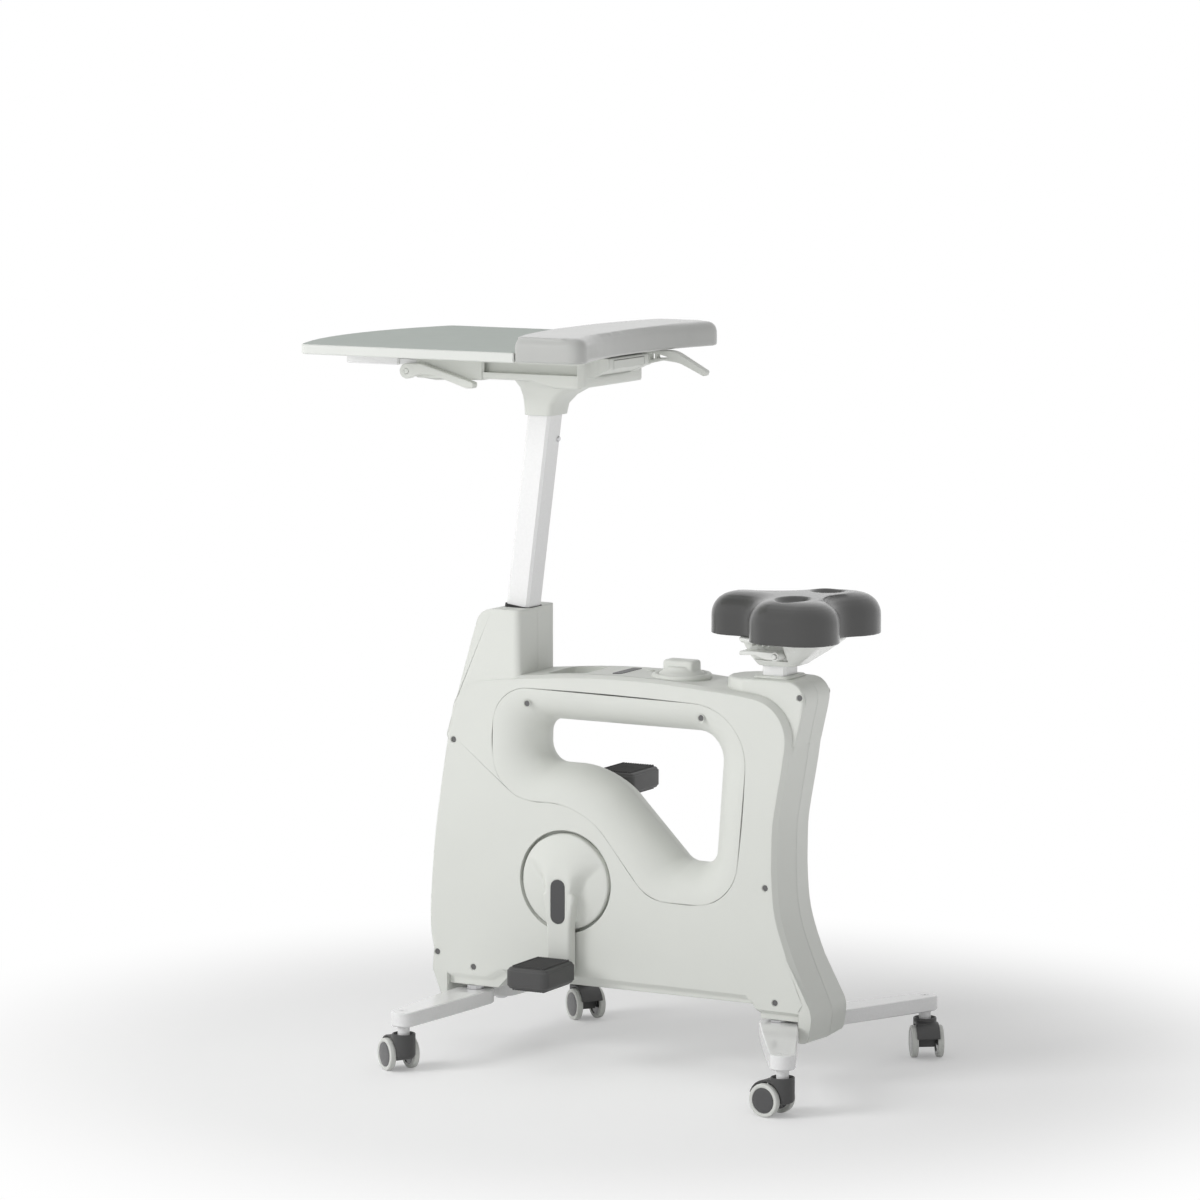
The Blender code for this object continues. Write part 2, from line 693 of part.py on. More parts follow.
def deck_height(y):
    """Height of the console's arched top at a distance along the bike."""
    outline = rounded(inset(PANEL_OUTLINE, -SHOULDER), PANEL_STEPS)
    for start, end in zip(outline, outline[1:]):
        if start.y >= 0.3 and end.y >= 0.3 and end.x <= y <= start.x:
            return start.y + (end.y - start.y) * (y - start.x) / (end.x - start.x)
    return 0.0


def console():
    """Deck with its phone pocket, display, button and the resistance knob on its base."""
    deck = plate([rounded(inset(PANEL_OUTLINE, -SHOULDER), PANEL_STEPS)], -SHOULDER_X, SHOULDER_X)
    carve(deck, plate([rounded(inset(PANEL_OUTLINE, DECK_THICKNESS - SHOULDER), PANEL_STEPS)],
                      -0.060, 0.060))
    keep(deck, box((-0.055, DECK_REAR, 0.570), (0.055, TURRET_REAR - 2 * GAP, 0.620)))
    knob_z = deck_height(KNOB_Y - KNOB_BASE_RADIUS) - 0.0018
    pocket_top = deck_height(POCKET_CENTRE[1])
    grow = 0.0025
    unite(deck, rod((0, KNOB_Y, knob_z - 0.0025), (0, KNOB_Y, knob_z + 0.001), KNOB_BASE_RADIUS + 0.002, 24),
          plate([rounded(rectangle(POCKET_CENTRE, [h + grow for h in POCKET_HALF], 0.012), 2)],
                pocket_top - POCKET_DEPTH - grow, pocket_top - 0.003, "Z"))
    carve(deck,
          plate([rounded(rectangle(POCKET_CENTRE, POCKET_HALF, 0.010), 2)],
                pocket_top - POCKET_DEPTH, pocket_top + 0.02, "Z"),
          rod((0, KNOB_Y, knob_z), (0, KNOB_Y, 0.62), KNOB_BASE_RADIUS + GAP, KNOB_BASE_SIDES),
          rod((0, KNOB_Y, 0.55), (0, KNOB_Y, 0.62), KNOB_SHAFT_RADIUS + 2 * GAP, 12))
    button_z = deck_height(BUTTON_CENTRE[1])
    carve(deck, rod((*BUTTON_CENTRE, 0.58), (*BUTTON_CENTRE, 0.62), BUTTON_RADIUS + GAP, 14))
    display_z = deck_height(DISPLAY_Y - DISPLAY_HALF[1])
    recess = [h + GAP for h in DISPLAY_HALF]
    carve(deck, plate([rounded(rectangle((0, DISPLAY_Y), recess, 0.004), 3)],
                      display_z - 0.0015, 0.62, "Z"))
    finish(deck, "console_deck", WHITE)
    display = plate([rounded(rectangle((0, DISPLAY_Y), DISPLAY_HALF, 0.004), 3)],
                    display_z - 0.0015 + GAP, display_z + 0.0004, "Z")
    finish(display, "display_panel", DARK)
    top = button_z + BUTTON_TRAVEL + 0.0005
    flange = button_z - DECK_THICKNESS - 2 * GAP
    button = turned([(0.0, top), (BUTTON_RADIUS - 0.001, top), (BUTTON_RADIUS, top - 0.001),
                     (BUTTON_RADIUS, flange), (BUTTON_RADIUS + 0.0015, flange),
                     (BUTTON_RADIUS + 0.0015, flange - 0.0015), (0.0, flange - 0.0015)],
                    (*BUTTON_CENTRE, 0.0), 14)
    finish(button, "mode_button", WHITE, (*BUTTON_CENTRE, button_z))
    rim = deck_height(KNOB_Y + KNOB_BASE_RADIUS) + 0.0005
    base = turned([(0.032, knob_z + KNOB_SEAT), (0.036, rim), (KNOB_BASE_RADIUS - 0.001, rim),
                   (KNOB_BASE_RADIUS, rim - 0.001), (KNOB_BASE_RADIUS, knob_z + GAP),
                   (KNOB_SHAFT_RADIUS + GAP, knob_z + GAP),
                   (KNOB_SHAFT_RADIUS + GAP, knob_z + KNOB_SEAT),
                   (0.032, knob_z + KNOB_SEAT)], (0, KNOB_Y, 0), KNOB_BASE_SIDES)
    finish(base, "knob_base", WHITE)
    low = knob_z + KNOB_SEAT + GAP
    knob = turned([(0.0, low + 0.010), (KNOB_SKIRT_RADIUS - 0.002, low + 0.010),
                   (KNOB_SKIRT_RADIUS, low + 0.008), (KNOB_SKIRT_RADIUS, low),
                   (KNOB_SHAFT_RADIUS, low), (KNOB_SHAFT_RADIUS, knob_z - 0.012),
                   (0.0, knob_z - 0.012)], (0, KNOB_Y, 0), 16)
    half = (KNOB_GRIP[0] / 2, KNOB_GRIP[1] / 2)
    grip = stack(rectangle((0, KNOB_Y), half, 0.008),
                 [(0.0, low + 0.004), (0.0, low + KNOB_GRIP[2] - 0.003),
                  (0.001, low + KNOB_GRIP[2] - 0.001), (0.003, low + KNOB_GRIP[2])], "Z", 3)
    unite(knob, grip)
    finish(knob, "resistance_knob", WHITE, (0, KNOB_Y, knob_z))


# Frame

def place_y(obj, y):
    """Shift a shape along the bike."""
    obj.data.transform(Matrix.Translation((0, y, 0)))
    return obj


def end_plate(centre_y, level):
    """Steel plate that closes a lip of the casing and carries two leg pivots."""
    half_x = 0.0450
    rear, front = (-0.2481, -0.1910) if centre_y < 0 else (0.2730, 0.3481)
    slab = box((-half_x, rear, level), (half_x, front, level + PLATE_THICKNESS))
    pivot_x = REAR_PIVOT[0]
    holes = [rod((side * pivot_x, centre_y, level - 0.01), (side * pivot_x, centre_y, level + 0.02),
                 PIVOT_RADIUS + GAP, 10) for side in (-1, 1)]
    return carve(slab, *holes)


def main_frame():
    """Welded steel frame: beam, end plates, column and seat tubes, crank tube and brackets."""
    half = BEAM[0] / 2
    top = BEAM_BOTTOM + BEAM[1]
    frame = box((-half, -0.236, BEAM_BOTTOM), (half, 0.336, top))
    rear_web = box((-half + 0.001, -0.2355, 0.100), (half - 0.001, -0.1945, BEAM_BOTTOM + 0.004))
    front_web = box((-half + 0.001, 0.2765, 0.103), (half - 0.001, 0.3355, BEAM_BOTTOM + 0.004))
    plates = [end_plate(REAR_PIVOT[1], REAR_LIP_Z), end_plate(FRONT_PIVOT[1], FRONT_LIP_Z)]
    seat_tube = place_y(chamfered_tube(SEAT_POST, top - 0.004, SEAT_TUBE_TOP, SLIDE_FIT + TUBE_WALL),
                       SEAT_POST_Y)
    seat_bore = place_y(chamfered_tube(SEAT_POST, top + SLIDE_FIT, SEAT_TUBE_TOP + 0.039, SLIDE_FIT),
                       SEAT_POST_Y)
    drop = (TURRET_TOP - BEAM_BOTTOM) / math.cos(COLUMN_RAKE)
    low = -drop + 0.012
    high = (OUTER_COLUMN_TOP - TURRET_TOP) / math.cos(COLUMN_RAKE)
    column_tube = on_column(chamfered_tube(COLUMN, low, high, SLIDE_FIT + TUBE_WALL))
    column_bore = on_column(chamfered_tube(COLUMN, low + 0.018, high + 0.05, SLIDE_FIT))
    strut = box((-0.019, CRANK_Y - 0.017, top - 0.003), (0.001, CRANK_Y + 0.017, CRANK_Z - 0.010))
    bracket = rod((-0.040, CRANK_Y, CRANK_Z), (0.0105, CRANK_Y, CRANK_Z), 0.021, 18)
    bracket_bore = rod((-0.050, CRANK_Y, CRANK_Z), (0.020, CRANK_Y, CRANK_Z),
                       CRANK_AXLE_RADIUS + GAP, 14)
    cross = box((-0.027, FLYWHEEL_Y - 0.018, BEAM_BOTTOM + 0.002),
                (0.034, FLYWHEEL_Y + 0.018, BEAM_BOTTOM + 0.008))
    posts = [box((x, FLYWHEEL_Y - 0.0175, BEAM_BOTTOM + 0.0025),
                 (x + 0.006, FLYWHEEL_Y + 0.0175, FLYWHEEL_Z + 0.014)) for x in (-0.0265, 0.0275)]
    axle_bore = rod((-0.040, FLYWHEEL_Y, FLYWHEEL_Z), (0.040, FLYWHEEL_Y, FLYWHEEL_Z),
                    FLYWHEEL_AXLE_RADIUS + GAP, 12)
    lug = box((-0.0195, MAGNET_PIN[0] - 0.009, top - 0.003), (-0.0155, MAGNET_PIN[0] + 0.009, 0.176))
    pin = rod((-0.0165, *MAGNET_PIN), (0.0105, *MAGNET_PIN), MAGNET_PIN_RADIUS, 12)
    unite(frame, rear_web, front_web, *plates, seat_tube, column_tube)
    carve(frame, seat_bore, column_bore)
    unite(frame, strut, bracket, cross, *posts, lug, pin)
    carve(frame, bracket_bore, axle_bore)
    finish(frame, "main_frame", PAINT)


def leg_pivot(side, spot, level, name):
    """Bolt that a leg folds about, with its head under the leg and a spacer above it."""
    x, y = side * spot[0], spot[1]
    shank = level + PLATE_THICKNESS + 0.004
    head = LEG_BOTTOM - GAP
    bolt = turned([(0.0, shank), (PIVOT_RADIUS, shank), (PIVOT_RADIUS, level - GAP),
                   (SPACER_RADIUS, level - GAP), (SPACER_RADIUS, LEG_BOTTOM + LEG_THICKNESS + GAP),
                   (PIVOT_RADIUS, LEG_BOTTOM + LEG_THICKNESS + GAP), (PIVOT_RADIUS, head),
                   (PIVOT_HEAD_RADIUS, head), (PIVOT_HEAD_RADIUS, head - PIVOT_HEAD_HEIGHT + 0.001),
                   (PIVOT_HEAD_RADIUS - 0.001, head - PIVOT_HEAD_HEIGHT),
                   (0.0, head - PIVOT_HEAD_HEIGHT)], (x, y, 0), 10)
    finish(bolt, name, PAINT, (x, y, LEG_BOTTOM))


def leg(side, pivot, stem, name):
    """Flat tapered steel leg from its pivot to the caster's stem."""
    start = Vector((side * pivot[0], pivot[1]))
    end = Vector((side * stem[0], stem[1]))
    rings = []
    for distance, level in (soft_edge(LEG_BOTTOM, LEG_EDGE, 1)[::2]
                            + soft_edge(LEG_BOTTOM + LEG_THICKNESS, LEG_EDGE, -1)[::-2]):
        rings.append((bar_outline(start, LEG_ROOT_RADIUS - distance, end, LEG_TIP_RADIUS - distance, 5),
                      level))
    bar = loft(rings, "Z")
    carve(bar, rod((*start, 0.05), (*start, 0.12), PIVOT_RADIUS + GAP, 10),
          rod((*end, 0.05), (*end, 0.12), CASTER_STEM_RADIUS + GAP, 12))
    finish(bar, name, PAINT, (*start, LEG_BOTTOM))


def turn_and_place(obj, angle, spot):
    """Turn a caster piece about its stem and carry it to its leg."""
    place = Matrix.Translation((*spot, 0.0)) @ Matrix.Rotation(math.radians(angle), 4, "Z")
    obj.data.transform(place)
    return place


def caster(side, stem, turn, name):
    """Caster hood with its stem and fender, and its pair of wheels on one axle."""
    spot = (side * stem[0], stem[1])
    leg_top = LEG_BOTTOM + LEG_THICKNESS
    hood = turned([
        (0.0, leg_top + 0.0005), (CASTER_STEM_RADIUS, leg_top + 0.0005),
        (CASTER_STEM_RADIUS, LEG_BOTTOM - GAP), (LEG_COLLAR_RADIUS, LEG_BOTTOM - GAP),
        (LEG_COLLAR_RADIUS, CASTER_BOSS_TOP), (CASTER_BOSS_RADIUS - 0.001, CASTER_BOSS_TOP),
        (CASTER_BOSS_RADIUS, CASTER_BOSS_TOP - 0.001), (CASTER_BOSS_RADIUS, CASTER_BOSS_BOTTOM + 0.010),
        (CASTER_BOSS_RADIUS - 0.006, CASTER_BOSS_BOTTOM), (0.0, CASTER_BOSS_BOTTOM)], (0, 0, 0), 14)
    half = WHEEL_INNER_FACE - 2 * GAP
    web = box((0.0, -half + 0.001, 0.017), (CASTER_TRAIL + 0.010, half - 0.001, 0.044))
    inner = WHEEL_RADIUS + 0.0015
    outer = inner + FENDER_THICKNESS
    arc = [math.radians(a) for a in range(18, 139, 30)]
    spots = [Vector((CASTER_TRAIL + outer * math.cos(a), WHEEL_RADIUS + outer * math.sin(a))) for a in arc]
    spots += [Vector((CASTER_TRAIL + (inner - 0.002) * math.cos(a),
                      WHEEL_RADIUS + (inner - 0.002) * math.sin(a))) for a in reversed(arc)]
    fender = plate([spots], -FENDER_WIDTH / 2, FENDER_WIDTH / 2, "Y")
    unite(hood, web, fender)
    axis = (CASTER_TRAIL, 0.0, WHEEL_RADIUS)
    wells = [rod((axis[0], way * half, axis[2]), (axis[0], way * 0.040, axis[2]), inner, 12)
             for way in (-1, 1)]
    bore = rod((axis[0], -0.040, axis[2]), (axis[0], 0.040, axis[2]), CASTER_AXLE_RADIUS + GAP, 8)
    carve(hood, *wells, bore)
    wheels = rod((axis[0], -0.018, axis[2]), (axis[0], 0.018, axis[2]), CASTER_AXLE_RADIUS, 8)
    tyres = []
    for way in (-1, 1):
        face = WHEEL_INNER_FACE + WHEEL_WIDTH
        tyre = turned([(0.0, face - 0.0005), (0.0185, face - 0.002), (0.0205, face),
                       (WHEEL_RADIUS, face - 0.0025), (WHEEL_RADIUS, WHEEL_INNER_FACE),
                       (0.0, WHEEL_INNER_FACE)], (0, 0, 0), 12)
        tyre.data.transform(Matrix.Translation(axis) @ Matrix.Rotation(-way * math.pi / 2, 4, "X"))
        tyres.append(tyre)
    unite(wheels, *tyres)
    place = turn_and_place(hood, turn, spot)
    turn_and_place(wheels, turn, spot)
    finish(hood, name + "_caster_hood", DARK, (*spot, 0.0))
    finish(wheels, name + "_caster_wheels", TYRE, place @ Vector(axis))


def base():
    """Four folding legs with their pivots and casters."""
    for side, hand in ((-1, "left"), (1, "right")):
        for end, pivot, level, y in (("front", FRONT_PIVOT, FRONT_LIP_Z, CASTER_Y),
                                     ("rear", REAR_PIVOT, REAR_LIP_Z, -CASTER_Y)):
            name = end + "_" + hand
            swing = math.radians(-FRONT_RIGHT_SWING if name == "front_right" else 0.0)
            reach = Matrix.Rotation(swing, 2) @ (Vector((CASTER_X, y)) - Vector(pivot))
            stem = Vector(pivot) + reach
            leg_pivot(side, pivot, level, name + "_leg_pivot")
            leg(side, pivot, stem, name + "_leg")
            caster(side, stem, CASTER_TURNS[name], name)


# Drive

def crank_arm():
    """Left crank: a domed disc with a spoon-shaped arm that ends at the pedal."""
    y, z = CRANK_Y, CRANK_Z
    disc = turned([(0.0, 0.068), (0.045, 0.066), (0.070, 0.0625), (CRANK_DISC_RADIUS, 0.0595),
                   (CRANK_DISC_RADIUS, 0.051), (0.0, 0.051)], (0, 0, 0), 26)
    disc.data.transform(Matrix.Translation((0, y, z)) @ Matrix.Rotation(-math.pi / 2, 4, "Y"))
    tip = z - CRANK_LENGTH
    r = CRANK_TIP_RADIUS
    face = [(y + r, tip - r, r - 0.001), (y + r, z - 0.062, 0.110), (y + 0.031, z - 0.012, 0.090),
            (y + 0.066, z + 0.034, 0.022), (y + 0.048, z + 0.071, 0.038), (y - 0.048, z + 0.071, 0.038),
            (y - 0.066, z + 0.034, 0.022), (y - 0.031, z - 0.012, 0.090), (y - r, z - 0.062, 0.110),
            (y - r, tip - r, r - 0.001)]
    spoon = stack(face, soft_edge(-CRANK_ARM_OUTER_X, 0.004, 1) + [(0.0, -CRANK_ARM_INNER_X + 0.004)],
                  "X", 3)
    slope = plate([[(-0.058, z + 0.078), (-0.063, z + 0.076), (-0.066, z + 0.070),
                    (-0.078, z + 0.034), (-0.0825, z + 0.015), (-0.090, z - 0.010), (-0.090, tip - 0.030),
                    (-CRANK_ARM_INNER_X, tip - 0.030), (-CRANK_ARM_INNER_X, z - 0.060),
                    (-0.058, z - 0.060)]], y - 0.090, y + 0.090, "Y")
    keep(spoon, slope)
    unite(disc, spoon)
    badge = stack(rectangle((y, z - BADGE_DROP), (BADGE[0] / 2 + GAP, BADGE[1] / 2 + GAP), 0.0118),
                  [(0.0, 0.0012 - CRANK_ARM_OUTER_X), (0.0, -0.100)], "X", 3)
    carve(disc, badge, rod((-0.078, y, z), (-0.040, y, z), CRANK_AXLE_RADIUS + GAP, 14),
          rod((-0.100, y, tip), (-0.040, y, tip), SPINDLE_RADIUS + GAP, 12))
    return disc


def crank_badge():
    """Pill-shaped inlay on the left crank."""
    return stack(rectangle((CRANK_Y, CRANK_Z - BADGE_DROP), (BADGE[0] / 2, BADGE[1] / 2), 0.0115),
                 [(0.0, 0.0012 - GAP - CRANK_ARM_OUTER_X), (0.0, -CRANK_ARM_OUTER_X - 0.0004),
                  (0.0006, -CRANK_ARM_OUTER_X - 0.001)], "X", 3)


def pedal():
    """Left pedal block with a raised border and ribs on both treads."""
    half = PEDAL_SIZE[2] / 2
    z = CRANK_Z - CRANK_LENGTH
    centre = (-PEDAL_START_X - PEDAL_SIZE[0] / 2, CRANK_Y)
    body = stack(rectangle(centre, (PEDAL_SIZE[0] / 2, PEDAL_SIZE[1] / 2), PEDAL_CORNER),
                 [(0.003, z - half), (0.0, z - half + 0.003), (0.0, z + half - 0.003),
                  (0.003, z + half)], "Z", 3)
    well = (PEDAL_SIZE[0] / 2 - 0.009, PEDAL_SIZE[1] / 2 - 0.009)
    for way in (-1, 1):
        carve(body, stack(rectangle(centre, well, 0.005),
                          [(0.0, z + way * (half - 0.0018)), (0.0, z + way * (half + 0.01))], "Z", 2))
        for i in range(5):
            x = centre[0] + (i - 2) * 0.0145
            unite(body, box((x - 0.002, centre[1] - well[1] + 0.003, z + way * (half - 0.0024) - 0.0012),
                            (x + 0.002, centre[1] + well[1] - 0.003, z + way * (half - 0.0024) + 0.0024)))
    return carve(body, rod((-PEDAL_START_X + 0.01, CRANK_Y, z), (-PEDAL_START_X - 0.084, CRANK_Y, z),
                           SPINDLE_RADIUS + GAP, 12))


def pedal_spindle():
    """Left pedal's spindle, fixed in the tip of the crank."""
    z = CRANK_Z - CRANK_LENGTH
    spindle = rod((-CRANK_ARM_INNER_X - 0.0005, CRANK_Y, z), (-PEDAL_START_X - 0.083, CRANK_Y, z),
                  SPINDLE_RADIUS, 10)
    washer = rod((-CRANK_ARM_OUTER_X - GAP, CRANK_Y, z), (-PEDAL_START_X + GAP, CRANK_Y, z), 0.0095, 12)
    return unite(spindle, washer)


def half_turn(obj):
    """Carry a left-hand crank piece to the right side, half a turn further round."""
    copy = mirrored(obj)
    centre = Vector((0, CRANK_Y, CRANK_Z))
    turn = Matrix.Rotation(math.pi, 4, "X")
    copy.data.transform(Matrix.Translation(centre) @ turn @ Matrix.Translation(-centre))
    return copy


def cranks():
    """Both cranks with badges, pedals and spindles, and the axle between them."""
    axis = (0.0, CRANK_Y, CRANK_Z)
    axle = rod((-0.0775, CRANK_Y, CRANK_Z), (0.0775, CRANK_Y, CRANK_Z), CRANK_AXLE_RADIUS, 14)
    finish(axle, "crank_axle", STEEL, axis)
    for make, name, spec in ((crank_arm, "crank", WHITE), (crank_badge, "crank_badge", DARK)):
        left = make()
        right = half_turn(left)
        finish(left, "left_" + name, spec, axis)
        finish(right, "right_" + name, spec, axis)
    for make, name, spec in ((pedal, "pedal", DARK), (pedal_spindle, "pedal_spindle", STEEL)):
        left = make()
        right = half_turn(left)
        finish(left, "left_" + name, spec, (-PEDAL_START_X, CRANK_Y, CRANK_Z - CRANK_LENGTH))
        finish(right, "right_" + name, spec, (PEDAL_START_X, CRANK_Y, CRANK_Z + CRANK_LENGTH))


def on_drive_axis(obj, y, z):
    """Stand a shape turned about Z on an axis across the bike."""
    obj.data.transform(Matrix.Translation((0, y, z)) @ Matrix.Rotation(math.pi / 2, 4, "Y"))
    return obj


def drive():
    """Crank pulley, belt, flywheel on its axle, and the magnet bracket that brakes it."""
    low, high = PULLEY_X
    axis = (CRANK_Y, CRANK_Z)
    bores = [circle((CRANK_Y + 0.035 * math.cos(a), CRANK_Z + 0.035 * math.sin(a)), 0.010, 6)
             for a in (2 * math.pi * i / 5 for i in range(5))]
    hub = circle(axis, CRANK_AXLE_RADIUS + GAP, 14)
    pulley = plate([circle(axis, CRANK_PULLEY_RADIUS, 24), hub] + bores, low, high, "X")
    finish(pulley, "crank_pulley", DARK, (low, *axis))
    small = (FLYWHEEL_Y, FLYWHEEL_Z)
    slack = BELT_GAP + BELT_THICKNESS
    belt = plate([
        bar_outline(axis, CRANK_PULLEY_RADIUS + slack, small, SMALL_PULLEY_RADIUS + slack, 11),
        bar_outline(axis, CRANK_PULLEY_RADIUS + BELT_GAP, small, SMALL_PULLEY_RADIUS + BELT_GAP, 11)],
        low + 0.0008, high - 0.0008, "X")
    finish(belt, "drive_belt", RUBBER, (low, *axis))
    left, right = FLYWHEEL_X
    bore = FLYWHEEL_AXLE_RADIUS + GAP
    rim = FLYWHEEL_RADIUS
    wheel = turned([
        (bore, high), (SMALL_PULLEY_RADIUS, high), (SMALL_PULLEY_RADIUS, low), (0.013, low),
        (0.013, right - 0.006), (rim - 0.013, right - 0.006), (rim - 0.013, right), (rim, right),
        (rim, left), (rim - 0.013, left), (rim - 0.013, left + 0.006), (0.013, left + 0.006),
        (0.013, left), (bore, left), (bore, high)], (0, 0, 0), 16)
    on_drive_axis(wheel, FLYWHEEL_Y, FLYWHEEL_Z)
    finish(wheel, "flywheel", STEEL, (0.0, FLYWHEEL_Y, FLYWHEEL_Z))
    axle = rod((-0.0330, FLYWHEEL_Y, FLYWHEEL_Z), (0.0400, FLYWHEEL_Y, FLYWHEEL_Z),
               FLYWHEEL_AXLE_RADIUS, 12)
    nuts = [rod((x, FLYWHEEL_Y, FLYWHEEL_Z), (x + 0.005, FLYWHEEL_Y, FLYWHEEL_Z), 0.009, 6)
            for x in (-0.0320, 0.0338)]
    unite(axle, *nuts)
    finish(axle, "flywheel_axle", STEEL)
    magnet_bracket()


def magnet_bracket():
    """Arm with magnets round the flywheel's front, swung nearer or further by the knob."""
    inner = FLYWHEEL_RADIUS + MAGNET_AIR_GAP
    outer = inner + 0.007
    arc = [math.radians(a) for a in range(-38, 41, 13)]
    centre = Vector((FLYWHEEL_Y, FLYWHEEL_Z))
    points = [centre + Vector((math.cos(a), math.sin(a))) * outer for a in arc]
    points += [centre + Vector((math.cos(a), math.sin(a))) * inner for a in reversed(arc)]
    pad = plate([points], -0.0140, 0.0100)
    barrel = rod((-0.0150, *MAGNET_PIN), (0.0100, *MAGNET_PIN), 0.0075, 14)
    joint = centre + Vector((math.cos(arc[0]), math.sin(arc[0]))) * (outer - 0.003)
    arm = plate([bar_outline(joint, 0.0045, Vector(MAGNET_PIN), 0.0044, 4)], -0.0135, 0.0095)
    unite(pad, barrel, arm)
    carve(pad, rod((-0.030, *MAGNET_PIN), (0.030, *MAGNET_PIN), MAGNET_PIN_RADIUS + GAP, 12))
    finish(pad, "magnet_bracket", STEEL, (0.0, *MAGNET_PIN))


# Seat

def gas_spring(low, cylinder_top, rod_low, rod_top):
    """A gas spring about the Z axis: a cylinder with a bore, and the rod that slides in it."""
    bore = GAS_ROD_RADIUS + GAP
    cylinder = turned([(bore, cylinder_top), (GAS_CYLINDER_RADIUS, cylinder_top),
                       (GAS_CYLINDER_RADIUS, low), (0.0, low), (0.0, low + 0.006),
                       (bore, low + 0.006), (bore, cylinder_top)], (0, 0, 0), 12)
    piston = rod((0, 0, rod_low), (0, 0, rod_top), GAS_ROD_RADIUS, 10)
    return cylinder, piston


def seat():
    """Sliding seat post with its gas spring, the pan, its lever and the cushion."""
    low, high = SEAT_POST_Z
    post = place_y(chamfered_tube(SEAT_POST, low, high), SEAT_POST_Y)
    carve(post, place_y(chamfered_tube(SEAT_POST, low - 0.01, high - 0.004, -TUBE_WALL), SEAT_POST_Y))
    finish(post, "seat_post", PAINT, (0, SEAT_POST_Y, high))
    floor = BEAM_BOTTOM + BEAM[1] + SLIDE_FIT + GAP
    cylinder, piston = gas_spring(floor, 0.400, floor + 0.012, high - 0.004 - GAP)
    finish(place_y(cylinder, SEAT_POST_Y), "seat_gas_cylinder", DARK, (0, SEAT_POST_Y, floor))
    finish(place_y(piston, SEAT_POST_Y), "seat_gas_rod", STEEL, (0, SEAT_POST_Y, floor))
    flange = stack(rectangle((0, SEAT_POST_Y), (0.032, 0.030), 0.009),
                   [(0.0, HOUSING_TOP + GAP), (0.0, HOUSING_TOP + 0.0025), (0.0015, HOUSING_TOP + 0.004)],
                   "Z", 3)
    sleeve = place_y(chamfered_tube(SEAT_POST, SEAT_TUBE_TOP + SLIDE_FIT, HOUSING_TOP + 0.001, SLEEVE_WALL),
                     SEAT_POST_Y)
    unite(flange, sleeve)
    carve(flange, place_y(chamfered_tube(SEAT_POST, SEAT_TUBE_TOP - 0.011, HOUSING_TOP + 0.021, SLIDE_FIT),
                          SEAT_POST_Y))
    finish(flange, "seat_collar", WHITE)
    seat_pan()
    seat_lever()
    seat_cushion()


def seat_pan():
    """Funnel-shaped pan under the cushion, with a ribbed pocket for its lever on the left."""
    top = SEAT_BOTTOM - GAP
    levels = ((0.0, -0.003, SEAT_PAN_BOTTOM), (0.0, 0.0, SEAT_PAN_BOTTOM + 0.003),
              (0.5, 0.0, 0.648), (1.0, 0.0, top - 0.004), (1.0, 0.0, top))
    rings = []
    for share, grow, level in levels:
        centre = (0.0, SEAT_PAN_FOOT_Y + (SEAT_PAN_RIM_Y - SEAT_PAN_FOOT_Y) * share)
        half = [a + (b - a) * share + grow for a, b in zip(SEAT_PAN_FOOT, SEAT_PAN_RIM)]
        radius = 0.013 + 0.015 * share + min(grow, 0.0)
        rings.append((rounded(rectangle(centre, half, radius), 4), level))
    pan = loft(rings, "Z")
    socket = place_y(chamfered_tube(SEAT_POST, SEAT_PAN_BOTTOM - 0.028, SEAT_POST_Z[1] + GAP, GAP),
                     SEAT_POST_Y)
    x, y, z = SEAT_LEVER_PIVOT
    inner = x + SEAT_LEVER_HALF + 0.002
    pocket = box((x - 0.050, y - 0.010, z - 0.010), (inner, y + 0.110, z + 0.0165))
    carve(pan, socket, pocket)
    pin = rod((inner + 0.004, y, z), (x - SEAT_LEVER_HALF - 0.0025, y, z), LEVER_PIN_RADIUS, 14)
    ribs = [box((x - 0.004, y + 0.014 + 0.0095 * i, z + 0.0115),
                (inner + 0.001, y + 0.0160 + 0.0095 * i, z + 0.0175)) for i in range(4)]
    unite(pan, pin, *ribs)
    finish(pan, "seat_pan", WHITE)


def seat_lever():
    """Wavy paddle under the seat's left side that frees the post."""
    x, y, z = SEAT_LEVER_PIVOT
    outline = [(y - 0.003, z + 0.0055, 0.001), (y - 0.003, z - 0.0052, 0.001), (y + 0.014, z - 0.0055, 0.010),
               (y + 0.034, z + 0.0005, 0.015), (y + 0.059, z - 0.0012, 0.0015),
               (y + 0.059, z + 0.0055, 0.0015), (y + 0.030, z + 0.0062, 0.020)]
    half = SEAT_LEVER_HALF
    lever = plate([rounded(outline, 3)], x - half + 0.0002, x + half - 0.0002)
    unite(lever, rod((x - half, y, z), (x + half, y, z), SEAT_LEVER_BARREL, 18))
    carve(lever, rod((x - 0.050, y, z), (x + 0.050, y, z), LEVER_PIN_RADIUS + GAP, 16))
    finish(lever, "seat_lever", WHITE, (x, y, z))


